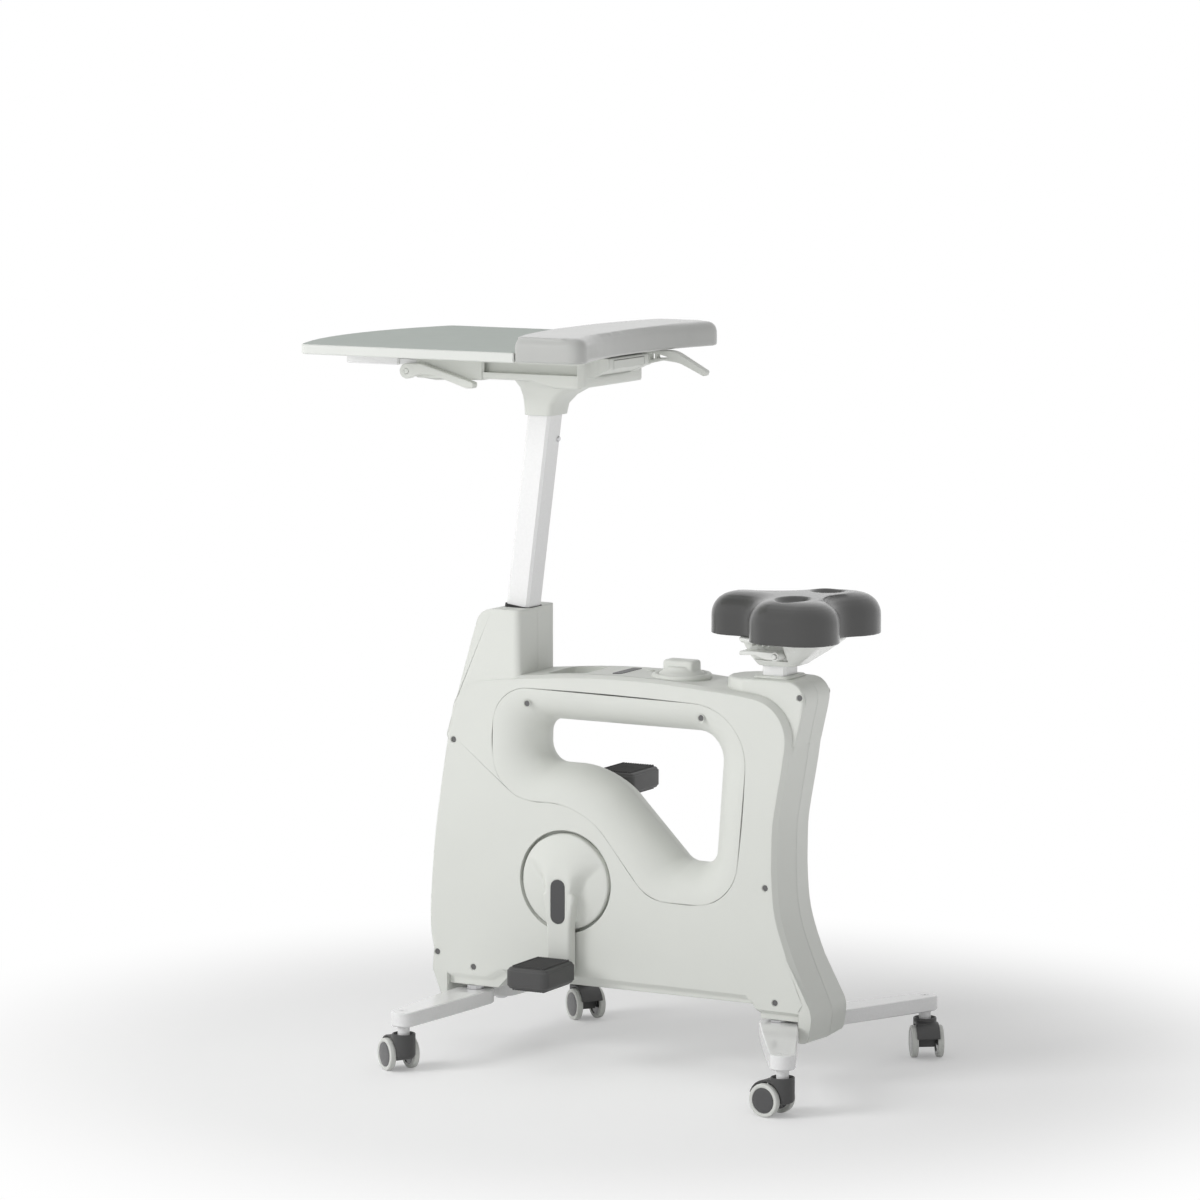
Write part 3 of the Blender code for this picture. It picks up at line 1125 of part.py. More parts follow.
def seat_cushion():
    """Three-lobed foam cushion with straight sides, a round top edge and two dimples."""
    nose, side = SEAT_NOSE_HALF, SEAT_HALF_WIDTH
    tip, waist, rear = SEAT_TIP_Y, SEAT_WAIST_Y, SEAT_REAR_Y
    notch = SEAT_NOTCH_HALF
    outline = [
        (nose, tip, 0.043), (-nose, tip, 0.043), (-nose, waist, 0.036), (-side, waist - 0.026, 0.046),
        (-side, rear, 0.052), (-notch, rear, 0.050), (0.0, rear + SEAT_NOTCH_DEPTH, 0.046),
        (notch, rear, 0.050), (side, rear, 0.052), (side, waist - 0.026, 0.046), (nose, waist, 0.036),
    ]
    top = SEAT_BOTTOM + SEAT_HEIGHT
    rings = [(0.003, SEAT_BOTTOM), (0.0, SEAT_BOTTOM + 0.003), (0.0, SEAT_BOTTOM + 0.027),
             (0.0018, top - 0.027), (0.0070, top - 0.0175), (0.0155, top - 0.0085),
             (0.0260, top - 0.0027), (0.0390, top)]
    cushion = stack(outline, rings, "Z", 3)
    bm = bmesh.new()
    for way in (-1, 1):
        made = bmesh.ops.create_uvsphere(bm, u_segments=16, v_segments=8, radius=1.0)
        bmesh.ops.scale(bm, vec=DIMPLE_HALF, verts=made["verts"])
        bmesh.ops.translate(bm, vec=(way * DIMPLE_CENTRE[0], DIMPLE_CENTRE[1], top + 0.001),
                            verts=made["verts"])
    carve(cushion, mesh_object(bm))
    finish(cushion, "seat_cushion", CHARCOAL, (0, SEAT_CENTRE_Y, SEAT_BOTTOM))


# Desk

def column():
    """Raked desk column with its gas spring, screw and the gasket at the turret."""
    high = COLUMN_TOP_REACH
    low = high - COLUMN_LENGTH
    tube = on_column(chamfered_tube(COLUMN, low, high))
    carve(tube, on_column(chamfered_tube(COLUMN, low - 0.01, high - 0.004, -TUBE_WALL)))
    half_y = COLUMN[1] / 2
    reach = (COLUMN_SCREW[1] - TURRET_TOP) / math.cos(COLUMN_RAKE)
    hole = rod((COLUMN_SCREW[0], 0.0, reach), (COLUMN_SCREW[0], -0.04, reach), 0.0022 + GAP, 12)
    carve(tube, on_column(hole))
    finish(tube, "desk_column", PAINT, (0, column_y(1.04), 1.04))
    screw = rod((COLUMN_SCREW[0], -half_y + 0.004, reach), (COLUMN_SCREW[0], -half_y - 0.0015, reach),
                0.0022, 12)
    unite(screw, rod((COLUMN_SCREW[0], -half_y - GAP, reach),
                     (COLUMN_SCREW[0], -half_y - 0.0025, reach), 0.0046, 16, 0.0036))
    finish(on_column(screw), "column_screw", STEEL)
    floor = (BEAM_BOTTOM - TURRET_TOP) / math.cos(COLUMN_RAKE) + 0.030 + GAP
    cylinder, piston = gas_spring(floor, -0.200, -0.330, high - 0.004 - GAP)
    finish(on_column(cylinder), "desk_gas_cylinder", DARK, (0, column_y(0.2), 0.2))
    finish(on_column(piston), "desk_gas_rod", STEEL, (0, column_y(0.4), 0.4))
    gasket = on_column(chamfered_tube(COLUMN, -0.006, 0.0030, 0.0024))
    carve(gasket, on_column(chamfered_tube(COLUMN, -0.030, 0.030, SLIDE_FIT)))
    finish(gasket, "column_gasket", RUBBER)


def head_bracket():
    """Head on top of the column: the slide housing with its funnel, slots and lever pins."""
    w = HEAD_HALF_WIDTH
    r = HEAD_REAR_Y
    top = DESK_TOP - 0.0163
    side = [(HEAD_FRONT_Y, top, 0.003), (r, top, 0.003), (r, HEAD_BOTTOM - 0.0095, 0.010),
            (0.138, HEAD_BOTTOM - 0.0100, 0.010), (0.185, HEAD_BOTTOM, 0.020), (0.262, HEAD_BOTTOM, 0.030),
            (0.345, HEAD_BOTTOM - 0.005, 0.010),
            (NOSE_FRONT_Y, HEAD_BOTTOM + 0.001, 0.006), (NOSE_FRONT_Y, NOSE_TOP, 0.003),
            (HEAD_FRONT_Y, NOSE_TOP, 0.001)]
    head = stack(side, soft_edge(-w, 0.0025, 1)[::2] + soft_edge(w, 0.0025, -1)[::-2], "X", 3)
    keep(head, plate([rounded([
        (w + 0.0005, 0.500, 0.001), (-w - 0.0005, 0.500, 0.001), (-w - 0.0005, r - 0.0005, HEAD_CORNER),
        (w + 0.0005, r - 0.0005, HEAD_CORNER)], 3)], top - 0.080, top + 0.010, "Z"))
    rear = [(0.110, top - 0.0007, 0.001), (PADDLE_BOX_Y, top - 0.0007, 0.003),
            (PADDLE_BOX_Y, top - 0.0172, 0.004), (0.0915, top - 0.0297, 0.004),
            (0.110, top - 0.0297, 0.001)]
    rear_box = plate([rounded(rear, 3)], -0.090, 0.090)
    half = PADDLE_BOX_X
    keep(rear_box, plate([rounded([
        (half + 0.020, 0.112, 0.001), (-half - 0.020, 0.112, 0.001), (-half - 0.020, r - 0.0003, 0.001),
        (-half - 0.002, r - 0.002, 0.014), (-half, PADDLE_BOX_Y - 0.001, 0.006),
        (half, PADDLE_BOX_Y - 0.001, 0.006), (half + 0.002, r - 0.002, 0.014),
        (half + 0.020, r - 0.0003, 0.001)], 3)], top - 0.080, top + 0.010, "Z"))
    rings = []
    for rise, hx, back, front, radius in (
            (0.0, 0.0295, 0.185, 0.233, 0.009), (0.016, 0.031, 0.181, 0.234, 0.011),
            (0.030, 0.034, 0.167, 0.236, 0.014), (0.042, 0.040, 0.145, 0.239, 0.018),
            (0.054, 0.050, 0.122, 0.245, 0.022)):
        rings.append((rounded(rectangle((0, (back + front) / 2), (hx, (front - back) / 2), radius), 3),
                      FUNNEL_BOTTOM + rise))
    funnel = loft(rings, "Z")
    middle_box = box((-w - 0.002, 0.263, HEAD_BOTTOM - 0.0020), (0.101 - w, 0.378, top - 0.0082), 0.0015)
    unite(head, rear_box, funnel, middle_box)
    for way in (-1, 1):
        near, far = sorted((way * SLOT_INNER_X, way * (w - 0.0035)))
        carve(head, box((near, SLOT_Y[0], SLOT_Z[0]), (far, 0.420, SLOT_Z[1])))
        near, far = sorted((way * (w - 0.006), way * (w + 0.010)))
        carve(head, box((near, SLOT_Y[0], SLOT_Z[0]), (far, SLOT_Y[1], SLOT_Z[1])))
    pocket = [(0.0640, top - 0.0037), (0.0640, top - 0.0247), (0.0860, top - 0.0337),
              (0.0970, top - 0.0247), (0.0870, top - 0.0157), (0.0790, top - 0.0037)]
    carve(head, plate([pocket], -PADDLE_WIDTH / 2 - 0.001, PADDLE_WIDTH / 2 + 0.001))
    pins = [rod((way * (w - 0.008), *pivot[1:]), (way * (w + 0.017), *pivot[1:]), LEVER_PIN_RADIUS, 12)
            for way, pivot in ((-1, LEFT_LEVER_PIVOT), (1, RIGHT_LEVER_PIVOT))]
    hinge = rod((-PADDLE_WIDTH / 2 - 0.005, *PADDLE_PIVOT), (PADDLE_WIDTH / 2 + 0.005, *PADDLE_PIVOT),
                0.0015, 10)
    unite(head, *pins, hinge)
    carve(on_head(head), on_column(chamfered_tube(COLUMN, COLUMN_TOP_REACH - 0.105,
                                                  COLUMN_TOP_REACH + GAP, GAP)))
    finish(head, "head_bracket", WHITE)


def rear_paddle():
    """Squeeze paddle in the rear of the head that frees the slide."""
    half = PADDLE_WIDTH / 2
    y, z = PADDLE_PIVOT
    outline = [(y - 0.0085, z + 0.0020), (y - 0.0085, z - 0.0105), (y + 0.0133, z - 0.0205),
               (y + 0.0150, z - 0.0172), (y - 0.0045, z - 0.0075), (y - 0.0020, z - 0.0025),
               (y + 0.0025, z - 0.0020), (y + 0.0025, z + 0.0020)]
    paddle = plate([outline], -half, half)
    carve(paddle, rod((-0.1, *PADDLE_PIVOT), (0.1, *PADDLE_PIVOT), 0.0015 + GAP, 12))
    finish(on_head(paddle), "rear_paddle", WHITE, (0, *PADDLE_PIVOT))


def levers():
    """Left and right hand levers on the head's sides."""
    x, y, z = LEFT_LEVER_PIVOT
    half = LEVER_WIDTH / 2
    left = rod((x - half, y, z), (x + half, y, z), LEVER_BOSS_RADIUS, 22)
    tongue = [(y + 0.001, z + 0.0115, 0.004), (y - 0.024, z + 0.0125, 0.030), (y - 0.118, z - 0.0135, 0.0035),
              (y - 0.116, z - 0.0225, 0.0035), (y - 0.104, z - 0.0225, 0.010),
              (y - 0.044, z - 0.0035, 0.060), (y - 0.024, z - 0.0040, 0.020), (y, z - 0.0115, 0.004)]
    unite(left, plate([rounded(tongue, 3)], x - half + 0.0002, x + half - 0.0002))
    carve(left, rod((x - 0.050, y, z), (x + 0.050, y, z), LEVER_PIN_RADIUS + GAP, 16))
    finish(on_head(left), "left_lever", WHITE, (x, y, z))
    x, y, z = RIGHT_LEVER_PIVOT
    right = rod((x - half, y, z), (x + half, y, z), RIGHT_BOSS_RADIUS, 22)
    tongue = [(y + 0.004, z + 0.0140, 0.002), (y - 0.052, z + 0.0165, 0.045),
              (y - 0.108, z - 0.0140, 0.003), (y - 0.105, z - 0.0225, 0.003),
              (y - 0.062, z - 0.0030, 0.040), (y - 0.034, z + 0.0003, 0.020), (y + 0.001, z - 0.0078, 0.004)]
    unite(right, plate([rounded(tongue, 4)], x - half + 0.0002, x + half - 0.0002))
    windows = [[(y - 0.0115, z + 0.0100), (y - 0.0115, z + 0.0005), (y - 0.0195, z + 0.0030),
                (y - 0.0195, z + 0.0105)],
               [(y - 0.0225, z + 0.0105), (y - 0.0225, z + 0.0035), (y - 0.0450, z + 0.0045)]]
    carve(right, *[plate([w], x - 0.05, x + 0.05) for w in windows])
    carve(right, rod((x - 0.050, y, z), (x + 0.050, y, z), LEVER_PIN_RADIUS + GAP, 16))
    finish(on_head(right), "right_lever", WHITE, (x, y, z))


def desk_top():
    """Sliding desk top on its tray, with the padded palm rest along its rear edge."""
    w = DESK_HALF_WIDTH
    y = PALM_REAR_Y + PALM_DEPTH + GAP
    low = DESK_TOP - DESK_THICKNESS
    slab = [(w, DESK_CORNER_Y - 0.003, DESK_CORNER_RADIUS), (0.0, DESK_CORNER_Y + 2 * DESK_BOW, 0.560),
            (-w, DESK_CORNER_Y - 0.003, DESK_CORNER_RADIUS), (-w, y, 0.0015),
            (0.0, y + 2 * PALM_CURVE, 0.630), (w, y, 0.0015)]
    steps = (3, 8, 3, 1, 8, 1)
    top = stack(slab, soft_edge(low, 0.0015, 1)[::2] + soft_edge(DESK_TOP, 0.0015, -1)[::-2], "Z", steps)
    tongue = box((-0.205, 0.080, low + 0.0001), (0.205, 0.260, DESK_TOP - 0.0001))
    unite(top, tongue)
    finish(on_head(top), "desktop", DESK_GREY, (0, 0.3, low))
    palm = [(w, y - GAP, 0.008), (0.0, y - GAP + 2 * PALM_CURVE, 0.630), (-w, y - GAP, 0.008),
            (-w, PALM_REAR_Y, 0.018), (0.0, PALM_REAR_Y + 0.068, 0.600), (w, PALM_REAR_Y, 0.018)]
    steps = (3, 8, 3, 4, 8, 4)
    rest = stack(palm, [(0.002, low + 0.001), (0.0, low + 0.003), (0.0, PALM_TOP - 0.016),
                        (0.0020, PALM_TOP - 0.008), (0.0065, PALM_TOP - 0.0028),
                        (0.0140, PALM_TOP)], "Z", steps)
    carve(rest, box((-0.205 - GAP, 0.080 - GAP, low - 0.01), (0.205 + GAP, 0.300, DESK_TOP + GAP)))
    finish(on_head(rest), "palm_rest", GREY_PAD, (0, 0.1, low))
    tray = box((-0.0985, STOP_BLOCK_Y[0], STOP_BLOCK_BOTTOM), (0.0985, STOP_BLOCK_Y[1], low - GAP), 0.002)
    for way in (-1, 1):
        near, far = sorted((way * RAIL_X[0], way * RAIL_X[1]))
        unite(tray, box((near, RAIL_Y[0], RAIL_Z[0]), (far, RAIL_Y[1], RAIL_Z[1])))
    finish(on_head(tray), "desk_tray", WHITE, (0, STOP_BLOCK_Y[0], STOP_BLOCK_BOTTOM))


casing()
console()
main_frame()
base()
cranks()
drive()
seat()
column()
head_bracket()
rear_paddle()
levers()
desk_top()
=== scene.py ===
"""Looks of a desk exercise bike: casing, cranks, seat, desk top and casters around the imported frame."""
import json
import math

import bmesh
import bpy
from mathutils import Matrix, Vector

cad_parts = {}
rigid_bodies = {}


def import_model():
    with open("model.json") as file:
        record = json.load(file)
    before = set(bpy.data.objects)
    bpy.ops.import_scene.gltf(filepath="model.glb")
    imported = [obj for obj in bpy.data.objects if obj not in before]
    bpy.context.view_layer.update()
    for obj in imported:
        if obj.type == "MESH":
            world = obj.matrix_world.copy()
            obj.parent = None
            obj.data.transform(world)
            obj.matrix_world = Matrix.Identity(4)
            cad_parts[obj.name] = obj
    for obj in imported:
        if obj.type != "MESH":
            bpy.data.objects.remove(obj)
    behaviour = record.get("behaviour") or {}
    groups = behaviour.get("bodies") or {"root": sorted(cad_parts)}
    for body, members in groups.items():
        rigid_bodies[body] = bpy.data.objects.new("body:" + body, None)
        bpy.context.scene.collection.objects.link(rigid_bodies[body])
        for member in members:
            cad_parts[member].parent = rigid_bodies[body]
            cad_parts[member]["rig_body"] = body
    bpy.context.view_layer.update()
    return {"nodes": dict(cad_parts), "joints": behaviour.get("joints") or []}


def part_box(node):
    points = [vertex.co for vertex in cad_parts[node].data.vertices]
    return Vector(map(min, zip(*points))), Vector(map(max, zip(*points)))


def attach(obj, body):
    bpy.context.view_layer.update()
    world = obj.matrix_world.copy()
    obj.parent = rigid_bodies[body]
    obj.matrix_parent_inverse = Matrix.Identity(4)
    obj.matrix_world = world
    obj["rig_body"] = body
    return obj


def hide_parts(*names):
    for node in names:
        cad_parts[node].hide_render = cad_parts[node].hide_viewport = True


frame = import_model()

# Camera and studio. One long lens stands to the rear left of the bike, higher than the desk.
# The lamps are large and soft, with the brightest one ahead of the bike on its left.
# The floor and the world look white to the camera and light the bike at a plain level.
LENS_PLACE = Vector((-6.8525, -3.7208, 1.6815))
LENS_RIGHT = Vector((0.4793, -0.8777, 0.0)).normalized()
LENS_AHEAD = Vector((0.8709, 0.4756, -0.1240)).normalized()
LENS_LENGTH = 155.07
SENSOR_WIDTH = 36.0
FLOOR_FADE = (0.62, 1.25)

camera = bpy.data.objects.new("camera", bpy.data.cameras.new("camera"))
bpy.context.scene.collection.objects.link(camera)
camera.data.lens = LENS_LENGTH
camera.data.sensor_width = SENSOR_WIDTH
lens_up = LENS_RIGHT.cross(LENS_AHEAD)
turned = Matrix((LENS_RIGHT, lens_up, -LENS_AHEAD)).transposed()
camera.matrix_world = Matrix.Translation(LENS_PLACE) @ turned.to_4x4()
bpy.context.scene.camera = camera
bpy.context.scene.view_settings.view_transform = "Standard"


def object_of(bm, name):
    """A bmesh made an object of the scene, with the bmesh used up."""
    mesh = bpy.data.meshes.new(name)
    bm.to_mesh(mesh)
    bm.free()
    made = bpy.data.objects.new(name, mesh)
    bpy.context.scene.collection.objects.link(made)
    return made


def add_node(tree, kind, sockets=None, **settings):
    """A shader node with its settings, and its sockets set to a value or joined to another's output."""
    made = tree.nodes.new(kind)
    for key, value in settings.items():
        setattr(made, key, value)
    for key, value in (sockets or {}).items():
        if isinstance(value, bpy.types.NodeSocket):
            tree.links.new(value, made.inputs[key])
        else:
            made.inputs[key].default_value = value
    return made


def seen_by_rays(tree):
    """1 for rays from the camera and for those that gloss or glass sends on, else 0."""
    rays = add_node(tree, "ShaderNodeLightPath")
    first = add_node(tree, "ShaderNodeMath", {0: rays.outputs["Is Camera Ray"],
                                              1: rays.outputs["Is Glossy Ray"]}, operation="MAXIMUM")
    last = add_node(tree, "ShaderNodeMath", {0: first.outputs[0],
                                             1: rays.outputs["Is Transmission Ray"]}, operation="MAXIMUM")
    return last.outputs[0]


def studio_world(level, white):
    """A world that lights the bike at one level and is seen at another."""
    world = bpy.data.worlds.new("studio")
    world.use_nodes = True
    tree = world.node_tree
    tree.nodes.clear()
    light = add_node(tree, "ShaderNodeBackground", {"Color": (1.0, 1.0, 1.0, 1.0), "Strength": level})
    seen = add_node(tree, "ShaderNodeBackground", {"Color": (1.0, 1.0, 1.0, 1.0), "Strength": white})
    mix = add_node(tree, "ShaderNodeMixShader", {0: seen_by_rays(tree), 1: light.outputs[0],
                                                 2: seen.outputs[0]})
    add_node(tree, "ShaderNodeOutputWorld", {"Surface": mix.outputs[0]})
    bpy.context.scene.world = world


def studio_floor(half, shade, glow):
    """A pale floor that keeps shadows near the bike and is plain white from FLOOR_FADE's far end on."""
    bm = bmesh.new()
    bmesh.ops.create_grid(bm, x_segments=1, y_segments=1, size=half)
    floor = object_of(bm, "studio_floor")
    made = bpy.data.materials.new("studio_floor")
    made.use_nodes = True
    tree = made.node_tree
    tree.nodes.clear()
    body = add_node(tree, "ShaderNodeBsdfDiffuse", {"Color": (shade, shade, shade, 1.0)})
    lift = add_node(tree, "ShaderNodeEmission", {"Strength": glow})
    none = add_node(tree, "ShaderNodeEmission", {"Strength": 0.0})
    pick = add_node(tree, "ShaderNodeMixShader", {0: seen_by_rays(tree), 1: none.outputs[0],
                                                  2: lift.outputs[0]})
    both = add_node(tree, "ShaderNodeAddShader", {0: body.outputs[0], 1: pick.outputs[0]})
    place = add_node(tree, "ShaderNodeTexCoord").outputs["Object"]
    far = add_node(tree, "ShaderNodeVectorMath", {0: place}, operation="LENGTH")
    fade = add_node(tree, "ShaderNodeMapRange", {"Value": far.outputs["Value"], "From Min": FLOOR_FADE[0],
                                                 "From Max": FLOOR_FADE[1]}, interpolation_type="SMOOTHSTEP")
    clear = add_node(tree, "ShaderNodeEmission", {"Strength": 1.0})
    whole = add_node(tree, "ShaderNodeMixShader", {0: fade.outputs[0], 1: both.outputs[0],
                                                   2: clear.outputs[0]})
    add_node(tree, "ShaderNodeOutputMaterial", {"Surface": whole.outputs[0]})
    floor.data.materials.append(made)


def soft_box(name, place, aim, size, watts):
    """A large square lamp that points at a spot and leaves no bright patch in glossy skins."""
    data = bpy.data.lights.new(name, "AREA")
    data.size = size
    data.energy = watts
    lamp = bpy.data.objects.new(name, data)
    bpy.context.scene.collection.objects.link(lamp)
    lamp.location = place
    lamp.visible_glossy = False
    lamp.rotation_euler = (Vector(aim) - Vector(place)).to_track_quat("-Z", "Y").to_euler()


studio_world(level=0.36, white=1.0)
studio_floor(half=60.0, shade=0.82, glow=0.24)
soft_box("front_left_box", place=(-3.9, 3.0, 2.7), aim=(0.0, 0.0, 0.5), size=2.2, watts=125.0)
soft_box("rear_left_box", place=(-4.2, -3.0, 3.4), aim=(0.0, 0.0, 0.5), size=3.0, watts=12.0)
soft_box("low_left_box", place=(-4.6, 0.3, 0.9), aim=(0.0, 0.0, 0.6), size=2.4, watts=19.0)
soft_box("overhead_box", place=(-0.4, 0.8, 4.0), aim=(0.0, 0.0, 0.6), size=2.6, watts=14.0)

# Casing. Two halves in fine-grained off-white plastic, moulded hollow and screwed together.
# Each solid of the frame is merged to a smooth-shaded moulding whose sharp edges carry a small radius.
CASING_COLOUR = (0.725, 0.74, 0.70)
WORN_COLOUR = (0.9, 0.9, 0.88)
WORN_REACH = 0.0012
WORN_FROM = 0.99
WORN_FULL = 0.80
EDGE_RADIUS = 0.0009
DRIFT_SCALE = 7.0
SMEAR_SCALE = 38.0
SPECK_TONE = 0.10
GLOSS_SWING = 0.12
GRAIN_STRENGTH = 0.6
COAT_ROUGHNESS = 0.08
SHARP_FROM = 32.0
WELD = 0.00001
FLAT_WITHIN = math.radians(0.3)
# A line is square to an axis below LEVEL_SLOPE. It is an arc while each step turns by less than MOST_TURN,
# and a step that bends by less than LEAST_BEND stays straight.
LEVEL_SLOPE = 0.02
MOST_TURN = math.radians(52.0)
LEAST_BEND = 0.01


def new_group(name, inputs, outputs):
    """An empty shader node group with named inputs and outputs, and its two end nodes."""
    tree = bpy.data.node_groups.new(name, "ShaderNodeTree")
    for label, kind in inputs:
        tree.interface.new_socket(label, in_out="INPUT", socket_type="NodeSocket" + kind)
    for label, kind in outputs:
        tree.interface.new_socket(label, in_out="OUTPUT", socket_type="NodeSocket" + kind)
    return tree, add_node(tree, "NodeGroupInput"), add_node(tree, "NodeGroupOutput")


def moulded_grain_group():
    """Spark-eroded grain with a faint drift of tone and gloss, and paler worn edges."""
    tree, start, end = new_group(
        "moulded_grain",
        [("Colour", "Color"), ("Drift", "Float"), ("Roughness", "Float"), ("Grain", "Float"),
         ("Wear", "Float")],
        [("Colour", "Color"), ("Roughness", "Float"), ("Height", "Float")])
    place = add_node(tree, "ShaderNodeTexCoord").outputs["Object"]
    grain = add_node(tree, "ShaderNodeTexNoise", {"Vector": place, "Scale": start.outputs["Grain"],
                                                  "Detail": 3.0, "Roughness": 0.6})
    drift = add_node(tree, "ShaderNodeTexNoise", {"Vector": place, "Scale": DRIFT_SCALE, "Detail": 2.0})
    smear = add_node(tree, "ShaderNodeTexNoise", {"Vector": place, "Scale": SMEAR_SCALE, "Detail": 4.0})
    centred = add_node(tree, "ShaderNodeMath", {0: drift.outputs["Fac"], 1: 0.5}, operation="SUBTRACT")
    shift = add_node(tree, "ShaderNodeMath", {0: centred.outputs[0], 1: start.outputs["Drift"]},
                     operation="MULTIPLY")
    fine = add_node(tree, "ShaderNodeMath", {0: grain.outputs["Fac"], 1: 0.5}, operation="SUBTRACT")
    speck = add_node(tree, "ShaderNodeMath", {0: fine.outputs[0], 1: SPECK_TONE, 2: shift.outputs[0]},
                     operation="MULTIPLY_ADD")
    level = add_node(tree, "ShaderNodeMath", {0: speck.outputs[0], 1: 1.0}, operation="ADD")
    toned = add_node(tree, "ShaderNodeVectorMath", {0: start.outputs["Colour"], "Scale": level.outputs[0]},
                     operation="SCALE")
    rounded = add_node(tree, "ShaderNodeBevel", {"Radius": WORN_REACH}, samples=4)
    facing = add_node(tree, "ShaderNodeNewGeometry")
    match = add_node(tree, "ShaderNodeVectorMath", {0: rounded.outputs[0], 1: facing.outputs["Normal"]},
                     operation="DOT_PRODUCT")
    edge = add_node(tree, "ShaderNodeMapRange", {"Value": match.outputs["Value"], "From Min": WORN_FROM,
                                                 "From Max": WORN_FULL, "To Min": 0.0, "To Max": 1.0})
    rubbed = add_node(tree, "ShaderNodeMath", {0: edge.outputs[0], 1: smear.outputs["Fac"]},
                      operation="MULTIPLY")
    share = add_node(tree, "ShaderNodeMath", {0: rubbed.outputs[0], 1: start.outputs["Wear"]},
                     operation="MULTIPLY")
    worn = add_node(tree, "ShaderNodeMix", {"Factor": share.outputs[0], "A": toned.outputs[0],
                                            "B": (*WORN_COLOUR, 1.0)}, data_type="RGBA")
    gloss = add_node(tree, "ShaderNodeMath", {0: smear.outputs["Fac"], 1: 0.5}, operation="SUBTRACT")
    rough = add_node(tree, "ShaderNodeMath", {0: gloss.outputs[0], 1: GLOSS_SWING,
                                              2: start.outputs["Roughness"]}, operation="MULTIPLY_ADD")
    tree.links.new(worn.outputs["Result"], end.inputs["Colour"])
    tree.links.new(rough.outputs[0], end.inputs["Roughness"])
    tree.links.new(grain.outputs["Fac"], end.inputs["Height"])
    return tree


MOULDED_GRAIN = moulded_grain_group()


def surfaced(name, group, varied, plain, depth, strength):
    """A material that takes its colour, roughness and relief from a group, and its Bump node."""
    made = bpy.data.materials.new(name)
    made.use_nodes = True
    tree = made.node_tree
    shader = tree.nodes["Principled BSDF"]
    for label, value in plain.items():
        shader.inputs[label].default_value = value
    surface = add_node(tree, "ShaderNodeGroup", varied, node_tree=group)
    relief = add_node(tree, "ShaderNodeBump", {"Height": surface.outputs["Height"], "Distance": depth,
                                               "Strength": strength})
    tree.links.new(surface.outputs["Colour"], shader.inputs["Base Color"])
    tree.links.new(surface.outputs["Roughness"], shader.inputs["Roughness"])
    tree.links.new(relief.outputs[0], shader.inputs["Normal"])
    return made, relief


def grained(name, colour, roughness, grain, depth, drift=0.05, wear=0.10, metallic=0.0, coat=0.0,
            shine=0.5, rounding=EDGE_RADIUS):
    """A hard surface with the shared grain, whose edges are shaded round."""
    made, relief = surfaced(
        name, MOULDED_GRAIN,
        {"Colour": (*colour, 1.0), "Drift": drift, "Roughness": roughness, "Grain": grain, "Wear": wear},
        {"Metallic": metallic, "Coat Weight": coat, "Coat Roughness": COAT_ROUGHNESS,
         "Specular IOR Level": shine}, depth, GRAIN_STRENGTH)
    soft = add_node(made.node_tree, "ShaderNodeBevel", {"Radius": rounding}, samples=6)
    made.node_tree.links.new(soft.outputs[0], relief.inputs["Normal"])
    return made


def show(bm, name, materials, crease=SHARP_FROM):
    """Put a finished bmesh in the scene as a piece at the origin, smooth up to edges of crease degrees."""
    piece = object_of(bm, name)
    for made in materials:
        piece.data.materials.append(made)
    piece.data.shade_smooth()
    piece.data.set_sharp_from_angle(angle=math.radians(crease))
    return piece


def weigh_normals(piece):
    """Let large flat faces set the shading, so that they stay flat beside a rounded edge."""
    weighted = piece.modifiers.new("weighted_normals", "WEIGHTED_NORMAL")
    weighted.keep_sharp = True
    weighted.weight = 100


def stand_for(piece, node):
    """A piece joins the body of the node that it stands for, and the node is hidden."""
    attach(piece, frame["nodes"][node]["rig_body"])
    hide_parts(node)


def merged(node):
    """A bmesh copy of a node with its loose triangles joined into clean faces."""
    bm = bmesh.new()
    bm.from_mesh(frame["nodes"][node].data)
    bmesh.ops.remove_doubles(bm, verts=bm.verts, dist=WELD)
    bmesh.ops.dissolve_limit(bm, angle_limit=FLAT_WITHIN, verts=bm.verts, edges=bm.edges)
    return bm


def run_on(edge, vert, line):
    """The direction of the line's next edge past a vertex, or None where it ends or turns a corner."""
    ahead = vert.co - edge.other_vert(vert).co
    best = None
    best_turn = MOST_TURN
    for other in vert.link_edges:
        if other in line and other is not edge:
            onward = other.other_vert(vert).co - vert.co
            turn = ahead.angle(onward, math.pi)
            if turn < best_turn:
                best = onward
                best_turn = turn
    return best


def curve_spot(start, leave, end, arrive, t):
    """A place on the curve that leaves start one way and arrives at end another way."""
    return (start * (2 * t ** 3 - 3 * t ** 2 + 1) + leave * (t ** 3 - 2 * t ** 2 + t)
            + end * (3 * t ** 2 - 2 * t ** 3) + arrive * (t ** 3 - t ** 2))


def spot_key(spot):
    """A place rounded to a hundredth of a millimetre, to find a vertex by."""
    return tuple(round(c, 5) for c in spot)


